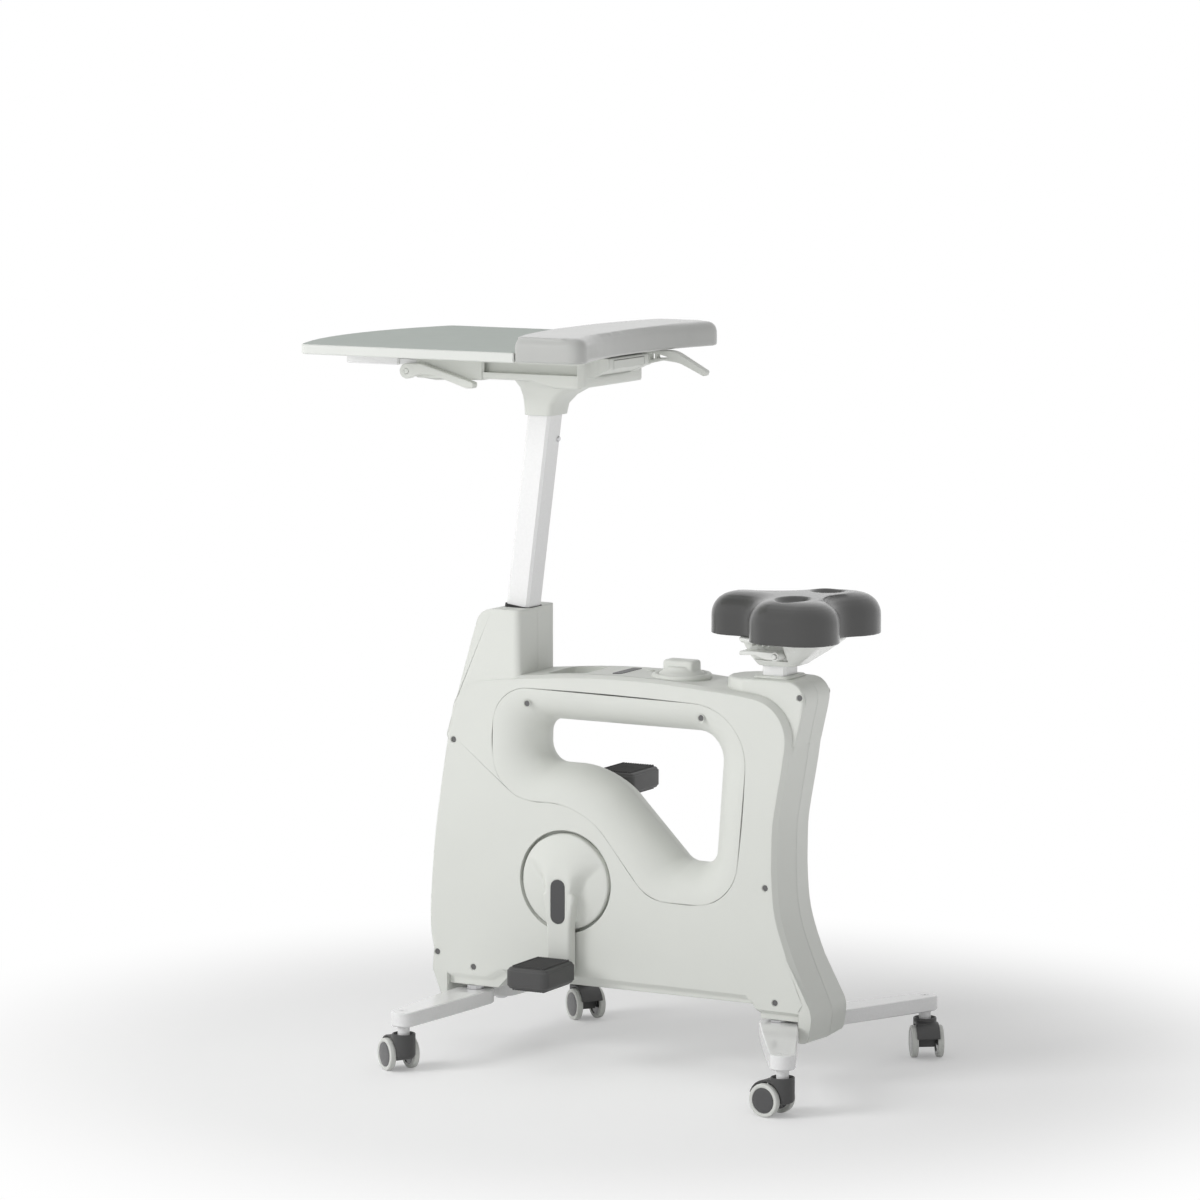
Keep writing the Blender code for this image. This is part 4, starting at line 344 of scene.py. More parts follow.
def rounder(bm, axis, cuts=3):
    """Turn the straight steps of arcs into curves, for the lines that run square to an axis."""
    across = "XYZ".index(axis)
    line = set()
    for edge in bm.edges:
        along = edge.verts[1].co - edge.verts[0].co
        if abs(along[across]) < LEVEL_SLOPE * along.length:
            line.add(edge)
    places = {}
    bent = []
    for edge in line:
        start, end = edge.verts
        along = end.co - start.co
        ahead = run_on(edge, end, line)
        behind = run_on(edge, start, line)
        leave = along.copy() if behind is None else along - behind
        arrive = along.copy() if ahead is None else along + ahead
        leave = leave.normalized() * along.length
        arrive = arrive.normalized() * along.length
        if max(leave.angle(along), arrive.angle(along)) < LEAST_BEND:
            continue
        bent.append(edge)
        for step in range(1, cuts + 1):
            t = step / (cuts + 1)
            places[spot_key(start.co + along * t)] = curve_spot(start.co, leave, end.co, arrive, t)
    made = bmesh.ops.subdivide_edges(bm, edges=bent, cuts=cuts)
    for vert in {v for v in made["geom_split"] if isinstance(v, bmesh.types.BMVert)}:
        vert.co = places.get(spot_key(vert.co), vert.co)
    return bm


def moulding(node, made, axis=None):
    """A node shown as a merged, smooth-shaded moulding, with its arcs rounded about an axis."""
    bm = merged(node)
    if axis:
        rounder(bm, axis)
    piece = show(bm, node + "_moulding", [made])
    weigh_normals(piece)
    stand_for(piece, node)


casing_plastic = grained("casing_plastic", CASING_COLOUR, roughness=0.46, grain=1500.0, depth=0.00012,
                         rounding=0.0022)
for node in ("left_shell", "right_shell"):
    moulding(node, casing_plastic, "X")
moulding("seat_collar", casing_plastic, "Z")

# Window surrounds. A dished moulding of the casing's plastic runs from each side in to the throat.
# The two meet on the bike's centre plane, and each one is held by two screws at its top.
# CONTOUR is the rim on the side panel and THROAT the opening, each as (y, z, radius) corners.
PANEL_X = 0.060
CONTOUR = [(0.174, 0.572, 0.060), (-0.266, 0.566, 0.090), (-0.240, 0.261, 0.072),
           (-0.094, 0.261, 0.062), (0.018, 0.398, 0.120), (0.178, 0.397, 0.072)]
THROAT = [(0.110, 0.520, 0.028), (-0.202, 0.519, 0.040), (-0.188, 0.317, 0.028),
          (-0.134, 0.317, 0.028), (0.000, 0.452, 0.130), (0.112, 0.452, 0.030)]
DISH_STEPS = 14
TRIM_CORNER_STEPS = 12
TRIM_WALL = 0.002
TRIM_FLANGE = 0.0030
TRIM_OVERLAP = 1.003
TRIM_LIP = 0.004
SEAM = 0.00015
TRIM_SCREWS = [(0.1164, 0.5474), (-0.1827, 0.5462)]
TRIM_SCREW_LEVEL = PANEL_X - 0.001
RECESS_RADIUS = 0.0050
RECESS_DEPTH = 0.0016
CUTTER_PAST = 0.010


def rounded_outline(bm, corners, level, steps=10):
    """A flat face from anticlockwise (x, y, radius) corners, each one rounded by a vertex bevel."""
    spots = [bm.verts.new((x, y, level)) for x, y, _ in corners]
    before = set(bm.faces)
    bm.faces.new(spots)
    places = [Vector((x, y)) for x, y, _ in corners]
    for index, (_, _, radius) in enumerate(corners):
        here = places[index]
        back = places[index - 1] - here
        ahead = places[(index + 1) % len(places)] - here
        reach = radius / math.tan(back.angle(ahead) / 2)
        bmesh.ops.bevel(bm, geom=[spots[index]], offset=reach, offset_type="OFFSET", segments=steps,
                        profile=0.5, affect="VERTICES", material=-1)
    return next(f for f in bm.faces if f not in before)


def rounded_plate(bm, low, high, radius, level, steps=10):
    """A flat upright rectangle between two places, with four equal round corners."""
    corners = [(high[0], high[1], radius), (low[0], high[1], radius), (low[0], low[1], radius),
               (high[0], low[1], radius)]
    return rounded_outline(bm, corners, level, steps)


def outline_spots(corners, steps):
    """The points of a rounded outline, in order."""
    bm = bmesh.new()
    face = rounded_outline(bm, corners, 0.0, steps)
    spots = [loop.vert.co.to_2d() for loop in face.loops]
    bm.free()
    return spots


def applied(piece):
    """A new mesh of an object, with its modifiers applied."""
    bpy.context.view_layer.update()
    graph = bpy.context.evaluated_depsgraph_get()
    return bpy.data.meshes.new_from_object(piece.evaluated_get(graph))


def cut(piece, others, operation):
    """Join or cut a loose object with others, which are used up."""
    for other in others:
        modifier = piece.modifiers.new("cut", "BOOLEAN")
        modifier.operation = operation
        modifier.object = other
    mesh = applied(piece)
    piece.modifiers.clear()
    piece.data = mesh
    for other in others:
        bpy.data.objects.remove(other)
    return piece


def loose(bm):
    """A bmesh put in the scene as a helper, with its faces pointing outwards."""
    bmesh.ops.recalc_face_normals(bm, faces=bm.faces)
    return object_of(bm, "helper")


def taken(helper):
    """A helper object's mesh as a bmesh, with the object used up."""
    bm = bmesh.new()
    bm.from_mesh(helper.data)
    bpy.data.objects.remove(helper)
    return bm


def add_rod(bm, radius, length, centre, axis, sides=32):
    """Add a closed rod along X or Y, about its centre."""
    turn = Matrix.Rotation(math.pi / 2, 4, {"X": "Y", "Y": "X"}[axis])
    bmesh.ops.create_cone(bm, cap_ends=True, segments=sides, radius1=radius, radius2=radius, depth=length,
                          matrix=Matrix.Translation(centre) @ turn)


def dished_trim():
    """The left surround: rings that run from the contour in to the throat, given a wall's thickness."""
    outer = outline_spots(CONTOUR, TRIM_CORNER_STEPS)
    inner = outline_spots(THROAT, TRIM_CORNER_STEPS)
    count = len(outer)
    samples = range(0, count, TRIM_CORNER_STEPS // 2)
    shift = min(range(count), key=lambda k: sum((outer[i] - inner[(i + k) % count]).length for i in samples))
    inner = inner[shift:] + inner[:shift]
    bm = bmesh.new()
    rings = []
    for step in range(-1, DISH_STEPS + 1):
        angle = math.pi / 2 * max(step, 0) / DISH_STEPS
        x = TRIM_FLANGE - PANEL_X if step < 0 else -PANEL_X * math.cos(angle) - SEAM
        share = TRIM_OVERLAP * (1 - math.sin(angle)) - (TRIM_LIP if step == 0 else 0.0)
        verts = [bm.verts.new((x, *(b + (a - b) * share))) for a, b in zip(outer, inner)]
        rings.append([bm.edges.new(pair) for pair in zip(verts, verts[1:] + verts[:1])])
    for first, second in zip(rings, rings[1:]):
        bmesh.ops.bridge_loops(bm, edges=first + second)
    bmesh.ops.recalc_face_normals(bm, faces=bm.faces)
    face = max(bm.faces, key=lambda f: abs(f.normal.x))
    if face.normal.x > 0:
        bmesh.ops.reverse_faces(bm, faces=bm.faces)
    bmesh.ops.solidify(bm, geom=bm.faces, thickness=TRIM_WALL)
    trim = loose(bm)
    near = -PANEL_X - CUTTER_PAST
    far = RECESS_DEPTH - TRIM_SCREW_LEVEL
    for y, z in TRIM_SCREWS:
        cutter = bmesh.new()
        add_rod(cutter, RECESS_RADIUS, far - near, ((near + far) / 2, y, z), "X")
        trim = cut(trim, [loose(cutter)], "DIFFERENCE")
    return taken(trim)


for way, side in ((-1, "left"), (1, "right")):
    bm = dished_trim()
    if way > 0:
        bmesh.ops.scale(bm, vec=(-1, 1, 1), verts=bm.verts)
        bmesh.ops.reverse_faces(bm, faces=bm.faces)
    trim = show(bm, side + "_window_surround", [casing_plastic])
    weigh_normals(trim)
    stand_for(trim, side + "_window_trim")

# Casing screws. Grey pan heads of steel with a round socket sit in round cups in the casing's face.
# They hold the two halves together along the edge, and each window surround at its top.
HEAD_RADIUS = 0.0044
HEAD_HEIGHT = 0.0009
HEAD_SIDES = 20
RIM_SHARE = 0.6
ROUND_SHARE = 0.22
SOCKET_RADIUS = 0.0018
SOCKET_DEPTH = 0.0007
SOCKET_EDGE = 0.0002
NO_INSET = 0.00001
# CUP is a (radius, height) line, and the screws' places are (y, z).
CUP = ((0.0062, -0.0002), (0.0062, 0.00010), (0.0058, 0.00022), (0.0053, 0.00016), (0.0049, -0.0003),
       (0.0047, -0.0009), (0.0046, -0.0017))
PANEL_SCREWS = [(0.2454, 0.4830), (-0.2920, 0.2973), (-0.3092, 0.1246), (0.2755, 0.1486), (0.2113, 0.1303)]
HOUSING_SCREW = (-0.3408, 0.5856)
HOUSING_X = 0.0455


def carry(bm, verts, centre, outwards):
    """Turn vertices that were built about Z to face outwards, and move them to their place."""
    turn = Vector((0, 0, 1)).rotation_difference(outwards).to_matrix()
    bmesh.ops.rotate(bm, verts=verts, cent=(0, 0, 0), matrix=turn)
    bmesh.ops.translate(bm, verts=verts, vec=centre)


def screw_head(bm):
    """One pan head with its socket, built about Z, and its new vertices."""
    before = set(bm.verts)
    made = bmesh.ops.create_circle(bm, cap_ends=True, segments=HEAD_SIDES, radius=HEAD_RADIUS)
    top = made["verts"][0].link_faces[0]
    for thickness, rise in ((NO_INSET, HEAD_HEIGHT * RIM_SHARE),
                            (HEAD_RADIUS * ROUND_SHARE, HEAD_HEIGHT * (1 - RIM_SHARE)),
                            (HEAD_RADIUS * (1 - ROUND_SHARE) - SOCKET_RADIUS, 0.0),
                            (SOCKET_EDGE, -SOCKET_DEPTH)):
        bmesh.ops.inset_region(bm, faces=[top], thickness=thickness, depth=rise)
    return [v for v in bm.verts if v not in before]


def spun(bm, profile, sides):
    """Spin an open or closed (radius, height) line round Z and return the new vertices."""
    spots = [bm.verts.new((radius, 0.0, height)) for radius, height in profile]
    lines = [bm.edges.new(pair) for pair in zip(spots, spots[1:])]
    before = set(bm.verts)
    bmesh.ops.spin(bm, geom=spots + lines, cent=(0, 0, 0), axis=(0, 0, 1), angle=2 * math.pi,
                   steps=sides, use_merge=True)
    made = spots + [v for v in bm.verts if v not in before]
    bmesh.ops.remove_doubles(bm, verts=made, dist=WELD)
    return [v for v in made if v.is_valid]


screw_grey = grained("screw_grey", (0.15, 0.15, 0.15), roughness=0.36, grain=1800.0, depth=0.00005,
                     wear=0.05, metallic=0.5)
for way, side in ((-1, "left"), (1, "right")):
    outwards = Vector((way, 0, 0))
    for label, spots, level in (("casing", PANEL_SCREWS, PANEL_X), ("trim", TRIM_SCREWS, TRIM_SCREW_LEVEL),
                                ("housing", [HOUSING_SCREW], HOUSING_X)):
        heads = bmesh.new()
        cups = bmesh.new()
        for y, z in spots:
            carry(heads, screw_head(heads), (way * (level - RECESS_DEPTH), y, z), outwards)
            carry(cups, spun(cups, CUP, sides=32), (way * level, y, z), outwards)
        screws = show(heads, f"{side}_{label}_screws", [screw_grey])
        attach(screws, "frame")
        bmesh.ops.recalc_face_normals(cups, faces=cups.faces)
        cup = show(cups, f"{side}_{label}_screw_cups", [casing_plastic])
        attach(cup, "frame")

# Console. The deck carries a phone pocket, a black display window, one button and the knob's base.
# It is the same grained plastic as the casing, dropped in between the two shoulders.
# BASE_RING and KNOB_SKIRT are (radius, height) lines that are spun about the knob's axis.
BASE_RING = ((0.0445, 0.0000), (0.0458, 0.0022), (0.0460, 0.0046), (0.0452, 0.0068), (0.0434, 0.0084),
             (0.0410, 0.0090), (0.0388, 0.0084), (0.0374, 0.0070), (0.0366, 0.0052), (0.0, 0.0050))
KNOB_SKIRT = ((0.0, 0.0), (0.0350, 0.0), (0.0352, 0.0022), (0.0340, 0.0040), (0.0312, 0.0056),
              (0.0278, 0.0078), (0.0250, 0.0108), (0.0230, 0.0140), (0.0, 0.0150))
RING_LIFT = 0.0012
KNOB_LIFT = 0.0064
GRIP_HALF = (0.0160, 0.0262)
GRIP_CORNER = 0.0070
GRIP_SINK = 0.001
GRIP_CROWN = [(0.0008, 0.0024), (0.0022, 0.0015), (0.0040, 0.0006)]

moulding("console_deck", casing_plastic)
display_black = grained("display_black", (0.030, 0.032, 0.032), roughness=0.34, grain=900.0, depth=0.00001,
                        wear=0.0, shine=0.15)
moulding("display_panel", display_black)
moulding("mode_button", casing_plastic, "Z")


def joint_spot(name):
    """Where a joint's axis passes, at rest."""
    return Vector(next(j["pos_m"] for j in frame["joints"] if j["name"] == name))


def raised(bm, face, wall, crown=()):
    """Grow a block from a face: an upright wall, then a crown of (inset, rise) steps."""
    made = bmesh.ops.extrude_face_region(bm, geom=[face])
    top = next(f for f in made["geom"] if isinstance(f, bmesh.types.BMFace))
    bmesh.ops.translate(bm, verts=top.verts, vec=(0, 0, wall))
    for thickness, rise in crown:
        bmesh.ops.inset_region(bm, faces=[top], thickness=thickness, depth=rise, use_even_offset=True)


def crown_height(crown):
    """How far the (inset, rise) steps of a crown rise together."""
    return sum(rise for _, rise in crown)


def smoothed(bm, verts, passes):
    """Draw vertices halfway towards their neighbours' middle, some passes over."""
    for _ in range(passes):
        bmesh.ops.smooth_vert(bm, verts=verts, factor=0.5, use_axis_x=True, use_axis_y=True, use_axis_z=True)


def remeshed(bm, voxel, passes, above=-1.0):
    """A closed bmesh turned into an even skin, and smoothed above a level like a moulding's soft edges."""
    rough = object_of(bm, "rough")
    modifier = rough.modifiers.new("skin", "REMESH")
    modifier.mode = "VOXEL"
    modifier.voxel_size = voxel
    skin = bmesh.new()
    skin.from_mesh(applied(rough))
    bpy.data.objects.remove(rough)
    smoothed(skin, [v for v in skin.verts if v.co.z > above], passes)
    return skin


def knob_form():
    """A flared skirt with a round-ended grip across it, built at the knob's place."""
    spot = joint_spot("knob_turn")
    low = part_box("knob_base")[0].z + KNOB_LIFT
    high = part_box("resistance_knob")[1].z
    skirt = bmesh.new()
    spun(skirt, KNOB_SKIRT, sides=64)
    bmesh.ops.translate(skirt, verts=skirt.verts, vec=(0, 0, low))
    grip = bmesh.new()
    face = rounded_plate(grip, (-GRIP_HALF[0], -GRIP_HALF[1]), GRIP_HALF, GRIP_CORNER, low + GRIP_SINK)
    raised(grip, face, high - low - GRIP_SINK - crown_height(GRIP_CROWN), GRIP_CROWN)
    bm = taken(cut(loose(skirt), [loose(grip)], "UNION"))
    bmesh.ops.translate(bm, verts=bm.verts, vec=(spot.x, spot.y, 0))
    return remeshed(bm, voxel=0.0007, passes=7)


knob = show(knob_form(), "resistance_knob_moulding", [casing_plastic], crease=60)
stand_for(knob, "resistance_knob")
bm = bmesh.new()
spun(bm, BASE_RING, sides=96)
bmesh.ops.recalc_face_normals(bm, faces=bm.faces)
ring_spot = joint_spot("knob_turn")
ring_spot.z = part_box("knob_base")[0].z + RING_LIFT
bmesh.ops.translate(bm, verts=bm.verts, vec=ring_spot)
stand_for(show(bm, "knob_base_ring", [casing_plastic]), "knob_base")

# Frame, legs and tubes. Mild steel tube and plate, welded and sprayed with white gloss paint.
# The paint lies in a faint orange peel, and pins, axles and rods are left as bright steel.
white_paint = grained("white_paint", (0.87, 0.87, 0.87), roughness=0.24, grain=260.0, depth=0.00005,
                      drift=0.02, coat=0.5)
steel = grained("bright_steel", (0.62, 0.62, 0.63), roughness=0.28, grain=700.0, depth=0.00003, metallic=1.0)
black_paint = grained("black_paint", (0.045, 0.045, 0.045), roughness=0.35, grain=420.0, depth=0.00005)
CORNERS = ("front_left", "front_right", "rear_left", "rear_right")
for node in ("main_frame", "seat_post", "desk_column", "desk_tray"):
    moulding(node, white_paint)
for corner in CORNERS:
    moulding(corner + "_leg", white_paint, "Z")
    moulding(corner + "_leg_pivot", steel)
for node in ("flywheel_axle", "crank_axle", "flywheel", "column_screw", "seat_gas_rod", "desk_gas_rod",
             "left_pedal_spindle", "right_pedal_spindle"):
    moulding(node, steel)
for node in ("seat_gas_cylinder", "desk_gas_cylinder", "magnet_bracket"):
    moulding(node, black_paint)
black_rubber = grained("black_rubber", (0.03, 0.03, 0.03), roughness=0.75, grain=900.0, depth=0.0001)
for node in ("drive_belt", "column_gasket"):
    moulding(node, black_rubber)

# Casters. A dark nylon hood swivels on its stem, and its fender reaches over two wheels on one axle.
# Each wheel is a soft off-white tread round a dark glossy cap, and the neck is a light steel bush.
# BOSS, TREAD, CAP and TUB are (radius, height) lines that are spun about their axis.
WHEEL_RADIUS = 0.025
BOSS = ((0.0, 0.0555), (0.0150, 0.0555), (0.0158, 0.0590), (0.0174, 0.0590), (0.0180, 0.0582),
        (0.0180, 0.0260), (0.0160, 0.0220), (0.0120, 0.0200), (0.0, 0.0200))
FENDER_INNER = 0.0265
FENDER_OUTER = 0.0295
FENDER_TUCK = 0.0005
FENDER_HALF = 0.0180
FENDER_ARC = (math.radians(16), math.radians(140))
FENDER_STEPS = 24
WEB_WIDTH = 0.0268
WEB_HEIGHT = 0.028
WEB_LEVEL = 0.031
WEB_PAST = 0.008
WELL_FACE = 0.0144
WELL_DEPTH = 0.030
NECK_RADIUS = 0.0095
NECK_FOOT = 0.0550
NECK_TOP = 0.0707
STEM_RADIUS = 0.0055
AXLE_RADIUS = 0.0038
AXLE_LENGTH = 0.034
TREAD = ((0.0185, 0.0150), (0.0238, 0.0150), (0.0247, 0.0156), (0.0250, 0.0168), (0.0250, 0.0222),
         (0.0246, 0.0236), (0.0238, 0.0243), (0.0226, 0.0245), (0.0200, 0.0244), (0.0193, 0.0241),
         (0.0191, 0.0234), (0.0185, 0.0232))
CAP = ((0.0190, 0.0180), (0.0190, 0.0232), (0.0186, 0.0239), (0.0170, 0.0242), (0.0120, 0.0244),
       (0.0060, 0.0245), (0.0, 0.0245))
TUB = ((0.0, 0.0148), (0.0060, 0.0148), (0.0065, 0.0158), (0.0172, 0.0162), (0.0180, 0.0150),
       (0.0186, 0.0150))

hood_plastic = grained("hood_plastic", (0.062, 0.062, 0.062), roughness=0.44, grain=1500.0, depth=0.0001)
cap_gloss = grained("cap_gloss", (0.060, 0.060, 0.062), roughness=0.20, grain=900.0, depth=0.00002, coat=0.6)
tread_grey = grained("tread_grey", (0.70, 0.71, 0.68), roughness=0.50, grain=1200.0, depth=0.0001)


def add_block(bm, size, centre):
    """Add a box about its centre and return its vertices."""
    place = Matrix.Translation(centre) @ Matrix.Diagonal((*size, 1.0))
    return bmesh.ops.create_cube(bm, size=1.0, matrix=place)["verts"]


def caster_place(corner):
    """The placing of a caster that is built about its stem with its wheels towards +X, and its trail."""
    stem = joint_spot(corner + "_caster_swivel")
    wheels = joint_spot(corner + "_wheel_spin")
    angle = math.atan2(wheels.y - stem.y, wheels.x - stem.x)
    trail = (wheels - stem).to_2d().length
    return Matrix.Translation((stem.x, stem.y, 0.0)) @ Matrix.Rotation(angle, 4, "Z"), trail


def caster_hood(trail):
    """The hood's boss, its web between the wheels and the fender over them, as one skin."""
    boss = bmesh.new()
    spun(boss, BOSS, sides=48)
    first, last = FENDER_ARC
    angles = [first + (last - first) * i / FENDER_STEPS for i in range(FENDER_STEPS + 1)]
    line = [(FENDER_OUTER, a) for a in angles] + [(FENDER_INNER - FENDER_TUCK, a) for a in reversed(angles)]
    fender = bmesh.new()
    side = fender.faces.new([fender.verts.new((trail + radius * math.cos(a), -FENDER_HALF,
                                               WHEEL_RADIUS + radius * math.sin(a))) for radius, a in line])
    made = bmesh.ops.extrude_face_region(fender, geom=[side])
    bmesh.ops.translate(fender, verts=[v for v in made["geom"] if isinstance(v, bmesh.types.BMVert)],
                        vec=(0, 2 * FENDER_HALF, 0))
    web = bmesh.new()
    add_block(web, (trail + WEB_PAST, WEB_WIDTH, WEB_HEIGHT), ((trail + WEB_PAST) / 2, 0, WEB_LEVEL))
    hood = cut(loose(boss), [loose(fender), loose(web)], "UNION")
    wells = []
    for way in (-1, 1):
        centre = (trail, way * (WELL_FACE + WELL_DEPTH / 2), WHEEL_RADIUS)
        well = bmesh.new()
        add_rod(well, FENDER_INNER, WELL_DEPTH, centre, "Y", sides=64)
        wells.append(loose(well))
    return remeshed(taken(cut(hood, wells, "DIFFERENCE")), voxel=0.0007, passes=3)


def caster_neck(leg_top):
    """The bush between the hood and the leg, and the stem that shows in the bore of the leg's top."""
    bm = bmesh.new()
    spun(bm, [(0.0, NECK_FOOT), (NECK_RADIUS, NECK_FOOT), (NECK_RADIUS, NECK_TOP - 0.0005),
              (NECK_RADIUS - 0.0005, NECK_TOP), (STEM_RADIUS, NECK_TOP), (STEM_RADIUS, leg_top - 0.0006),
              (STEM_RADIUS - 0.0003, leg_top - 0.0002), (0.0020, leg_top - 0.0002),
              (0.0018, leg_top - 0.0010), (0.0, leg_top - 0.0010)], sides=40)
    return bm


def caster_wheels():
    """The two treads, and their caps on one axle, about an axis along Y."""
    treads = bmesh.new()
    caps = bmesh.new()
    for way in (-1, 1):
        turn = Matrix.Rotation(-way * math.pi / 2, 4, "X")
        bmesh.ops.transform(treads, matrix=turn, verts=spun(treads, TREAD, sides=64))
        bmesh.ops.transform(caps, matrix=turn, verts=spun(caps, CAP, sides=56) + spun(caps, TUB, sides=56))
    add_rod(caps, AXLE_RADIUS, AXLE_LENGTH, (0, 0, 0), "Y", sides=24)
    return treads, caps


for corner in CORNERS:
    place, trail = caster_place(corner)
    axle_place = place @ Matrix.Translation((trail, 0, WHEEL_RADIUS))
    hood = caster_hood(trail)
    bmesh.ops.transform(hood, matrix=place, verts=hood.verts)
    neck = caster_neck(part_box(corner + "_leg")[1].z)
    treads, caps = caster_wheels()
    for bm, matrix in ((neck, place), (treads, axle_place), (caps, axle_place)):
        bmesh.ops.recalc_face_normals(bm, faces=bm.faces)
        bmesh.ops.transform(bm, matrix=matrix, verts=bm.verts)
    stand_for(show(hood, corner + "_hood_moulding", [hood_plastic], crease=60), corner + "_caster_hood")
    neck = show(neck, corner + "_caster_neck", [white_paint])
    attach(neck, corner + "_swivel")
    stand_for(show(treads, corner + "_treads", [tread_grey]), corner + "_caster_wheels")
    cap = show(caps, corner + "_wheel_caps", [cap_gloss])
    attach(cap, corner + "_wheel_pair")

# Cranks. Each arm is a glass-filled moulding: a disc that turns in the casing's cup and a spoon over it.
# A dark pill-shaped plug covers the bolt that holds the arm on its axle.
DISC_RADIUS = 0.074
DISC_FACE = 0.0665
DISC_FALL = 0.0062
DISC_CURVE = 2.6
DISC_RINGS = 56
DISC_RIM = [(DISC_RADIUS - 0.0004, 0.0601), (DISC_RADIUS, 0.0594), (DISC_RADIUS, 0.0510), (0.0, 0.0510)]
FACE_ABOVE = 0.0603
# ARM_FACE, ARM_HALF and ARM_FLAT give the face's place, the half width and the flat share of it against
# the height above the axis. BAR_EDGE is the bar's right side as (x, y, radius) corners.
# The disc is spun with its face above FACE_ABOVE and the steps of its rim below it.
ARM_FACE = [(-0.160, 0.0840), (-0.008, 0.0840), (0.012, 0.0828), (0.030, 0.0790), (0.048, 0.0730),
            (0.062, 0.0668), (0.0745, 0.0600)]
ARM_HALF = [(-0.160, 0.0205), (-0.060, 0.0215), (-0.035, 0.0250), (-0.012, 0.0320), (0.006, 0.0415),
            (0.020, 0.0560), (0.032, 0.0700), (0.080, 0.0760)]
ARM_FLAT = [(-0.060, 0.80), (-0.030, 0.72), (0.000, 0.50), (0.030, 0.10), (0.080, 0.0)]
SWELL_FROM = -0.052
SWELL_OVER = 0.020
BAR_EDGE = [(0.0205, -0.1515, 0.0195), (0.0205, -0.062, 0.120), (0.0250, -0.034, 0.050),
            (0.0300, -0.012, 0.010)]
BAR_BACK = 0.0645
BAR_WALL = 0.0150
BAR_CROWN = [(0.0006, 0.0022), (0.0014, 0.0015), (0.0020, 0.0008)]
PLUG_GAP = 0.0004
PLUG_FLAT = 0.0002
PLUG_SEAT = 0.0826
PLUG_CUT = 0.010


def read_off(table, at):
    """A value from a table of (place, value) rows, in straight lines between them."""
    for (a, first), (b, second) in zip(table, table[1:]):
        if at <= b:
            t = max(0.0, (at - a) / (b - a))
            return first + (second - first) * t
    return table[-1][1]


def smooth_step(t):
    """0 to 1 as t goes from 0 to 1, level at both ends and past them."""
    t = min(1.0, max(0.0, t))
    return t * t * (3 - 2 * t)


def dome(radius):
    """How far out the crank disc's face lies at a radius."""
    return DISC_FACE - DISC_FALL * (radius / DISC_RADIUS) ** DISC_CURVE


def crank_face(y, s):
    """How far out the crank's face lies at a place beside and above its axis."""
    base = dome(math.hypot(y, s))
    flat = read_off(ARM_FLAT, s)
    beside = abs(y) / read_off(ARM_HALF, s)
    lift = max(0.0, read_off(ARM_FACE, s) - base) * (1 - smooth_step((beside - flat) / (1.0 - flat)))
    return base + lift * min(1.0, max(0.0, (s - SWELL_FROM) / SWELL_OVER))


def crank_form():
    """The left crank: a domed disc that swells into the arm, its bar below, and the plug's seat."""
    radii = [DISC_RADIUS * i / DISC_RINGS for i in range(DISC_RINGS)]
    disc = bmesh.new()
    spun(disc, [(r, dome(r)) for r in radii] + DISC_RIM, sides=144)
    for vert in disc.verts:
        if vert.co.z > FACE_ABOVE:
            vert.co.z = crank_face(vert.co.x, vert.co.y)
    bar = bmesh.new()
    other_edge = [(-x, y, radius) for x, y, radius in reversed(BAR_EDGE)]
    face = rounded_outline(bar, BAR_EDGE + other_edge, BAR_BACK)
    raised(bar, face, BAR_WALL, BAR_CROWN)
    arm = remeshed(taken(cut(loose(disc), [loose(bar)], "UNION")), voxel=0.0010, passes=6)
    low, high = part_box("left_crank_badge")
    spot = joint_spot("crank_spin")
    wide = (high.y - low.y) / 2 + PLUG_GAP
    plug = bmesh.new()
    face = rounded_plate(plug, (-wide, low.z - spot.z - PLUG_GAP), (wide, high.z - spot.z + PLUG_GAP),
                         wide - PLUG_FLAT, PLUG_SEAT)
    raised(plug, face, PLUG_CUT)
    bm = taken(cut(object_of(arm, "helper"), [loose(plug)], "DIFFERENCE"))
    to_left = Matrix(((0, 0, -1, 0), (1, 0, 0, spot.y), (0, 1, 0, spot.z), (0, 0, 0, 1)))
    bmesh.ops.transform(bm, matrix=to_left, verts=bm.verts)
    bmesh.ops.recalc_face_normals(bm, faces=bm.faces)
    return bm


badge_grey = grained("badge_grey", (0.070, 0.070, 0.072), roughness=0.40, grain=1400.0, depth=0.00006)
for side in ("left", "right"):
    bm = crank_form()
    if side == "right":
        spot = joint_spot("crank_spin")
        through = Matrix.Translation(spot) @ Matrix.Scale(-1, 4) @ Matrix.Translation(-spot)
        bmesh.ops.transform(bm, matrix=through, verts=bm.verts)
        bmesh.ops.recalc_face_normals(bm, faces=bm.faces)
    stand_for(show(bm, side + "_crank_moulding", [casing_plastic], crease=50), side + "_crank")
    moulding(side + "_crank_badge", badge_grey, "X")
dark_plastic = grained("dark_plastic", (0.070, 0.070, 0.070), roughness=0.46, grain=1400.0, depth=0.0001)
moulding("crank_pulley", dark_plastic)

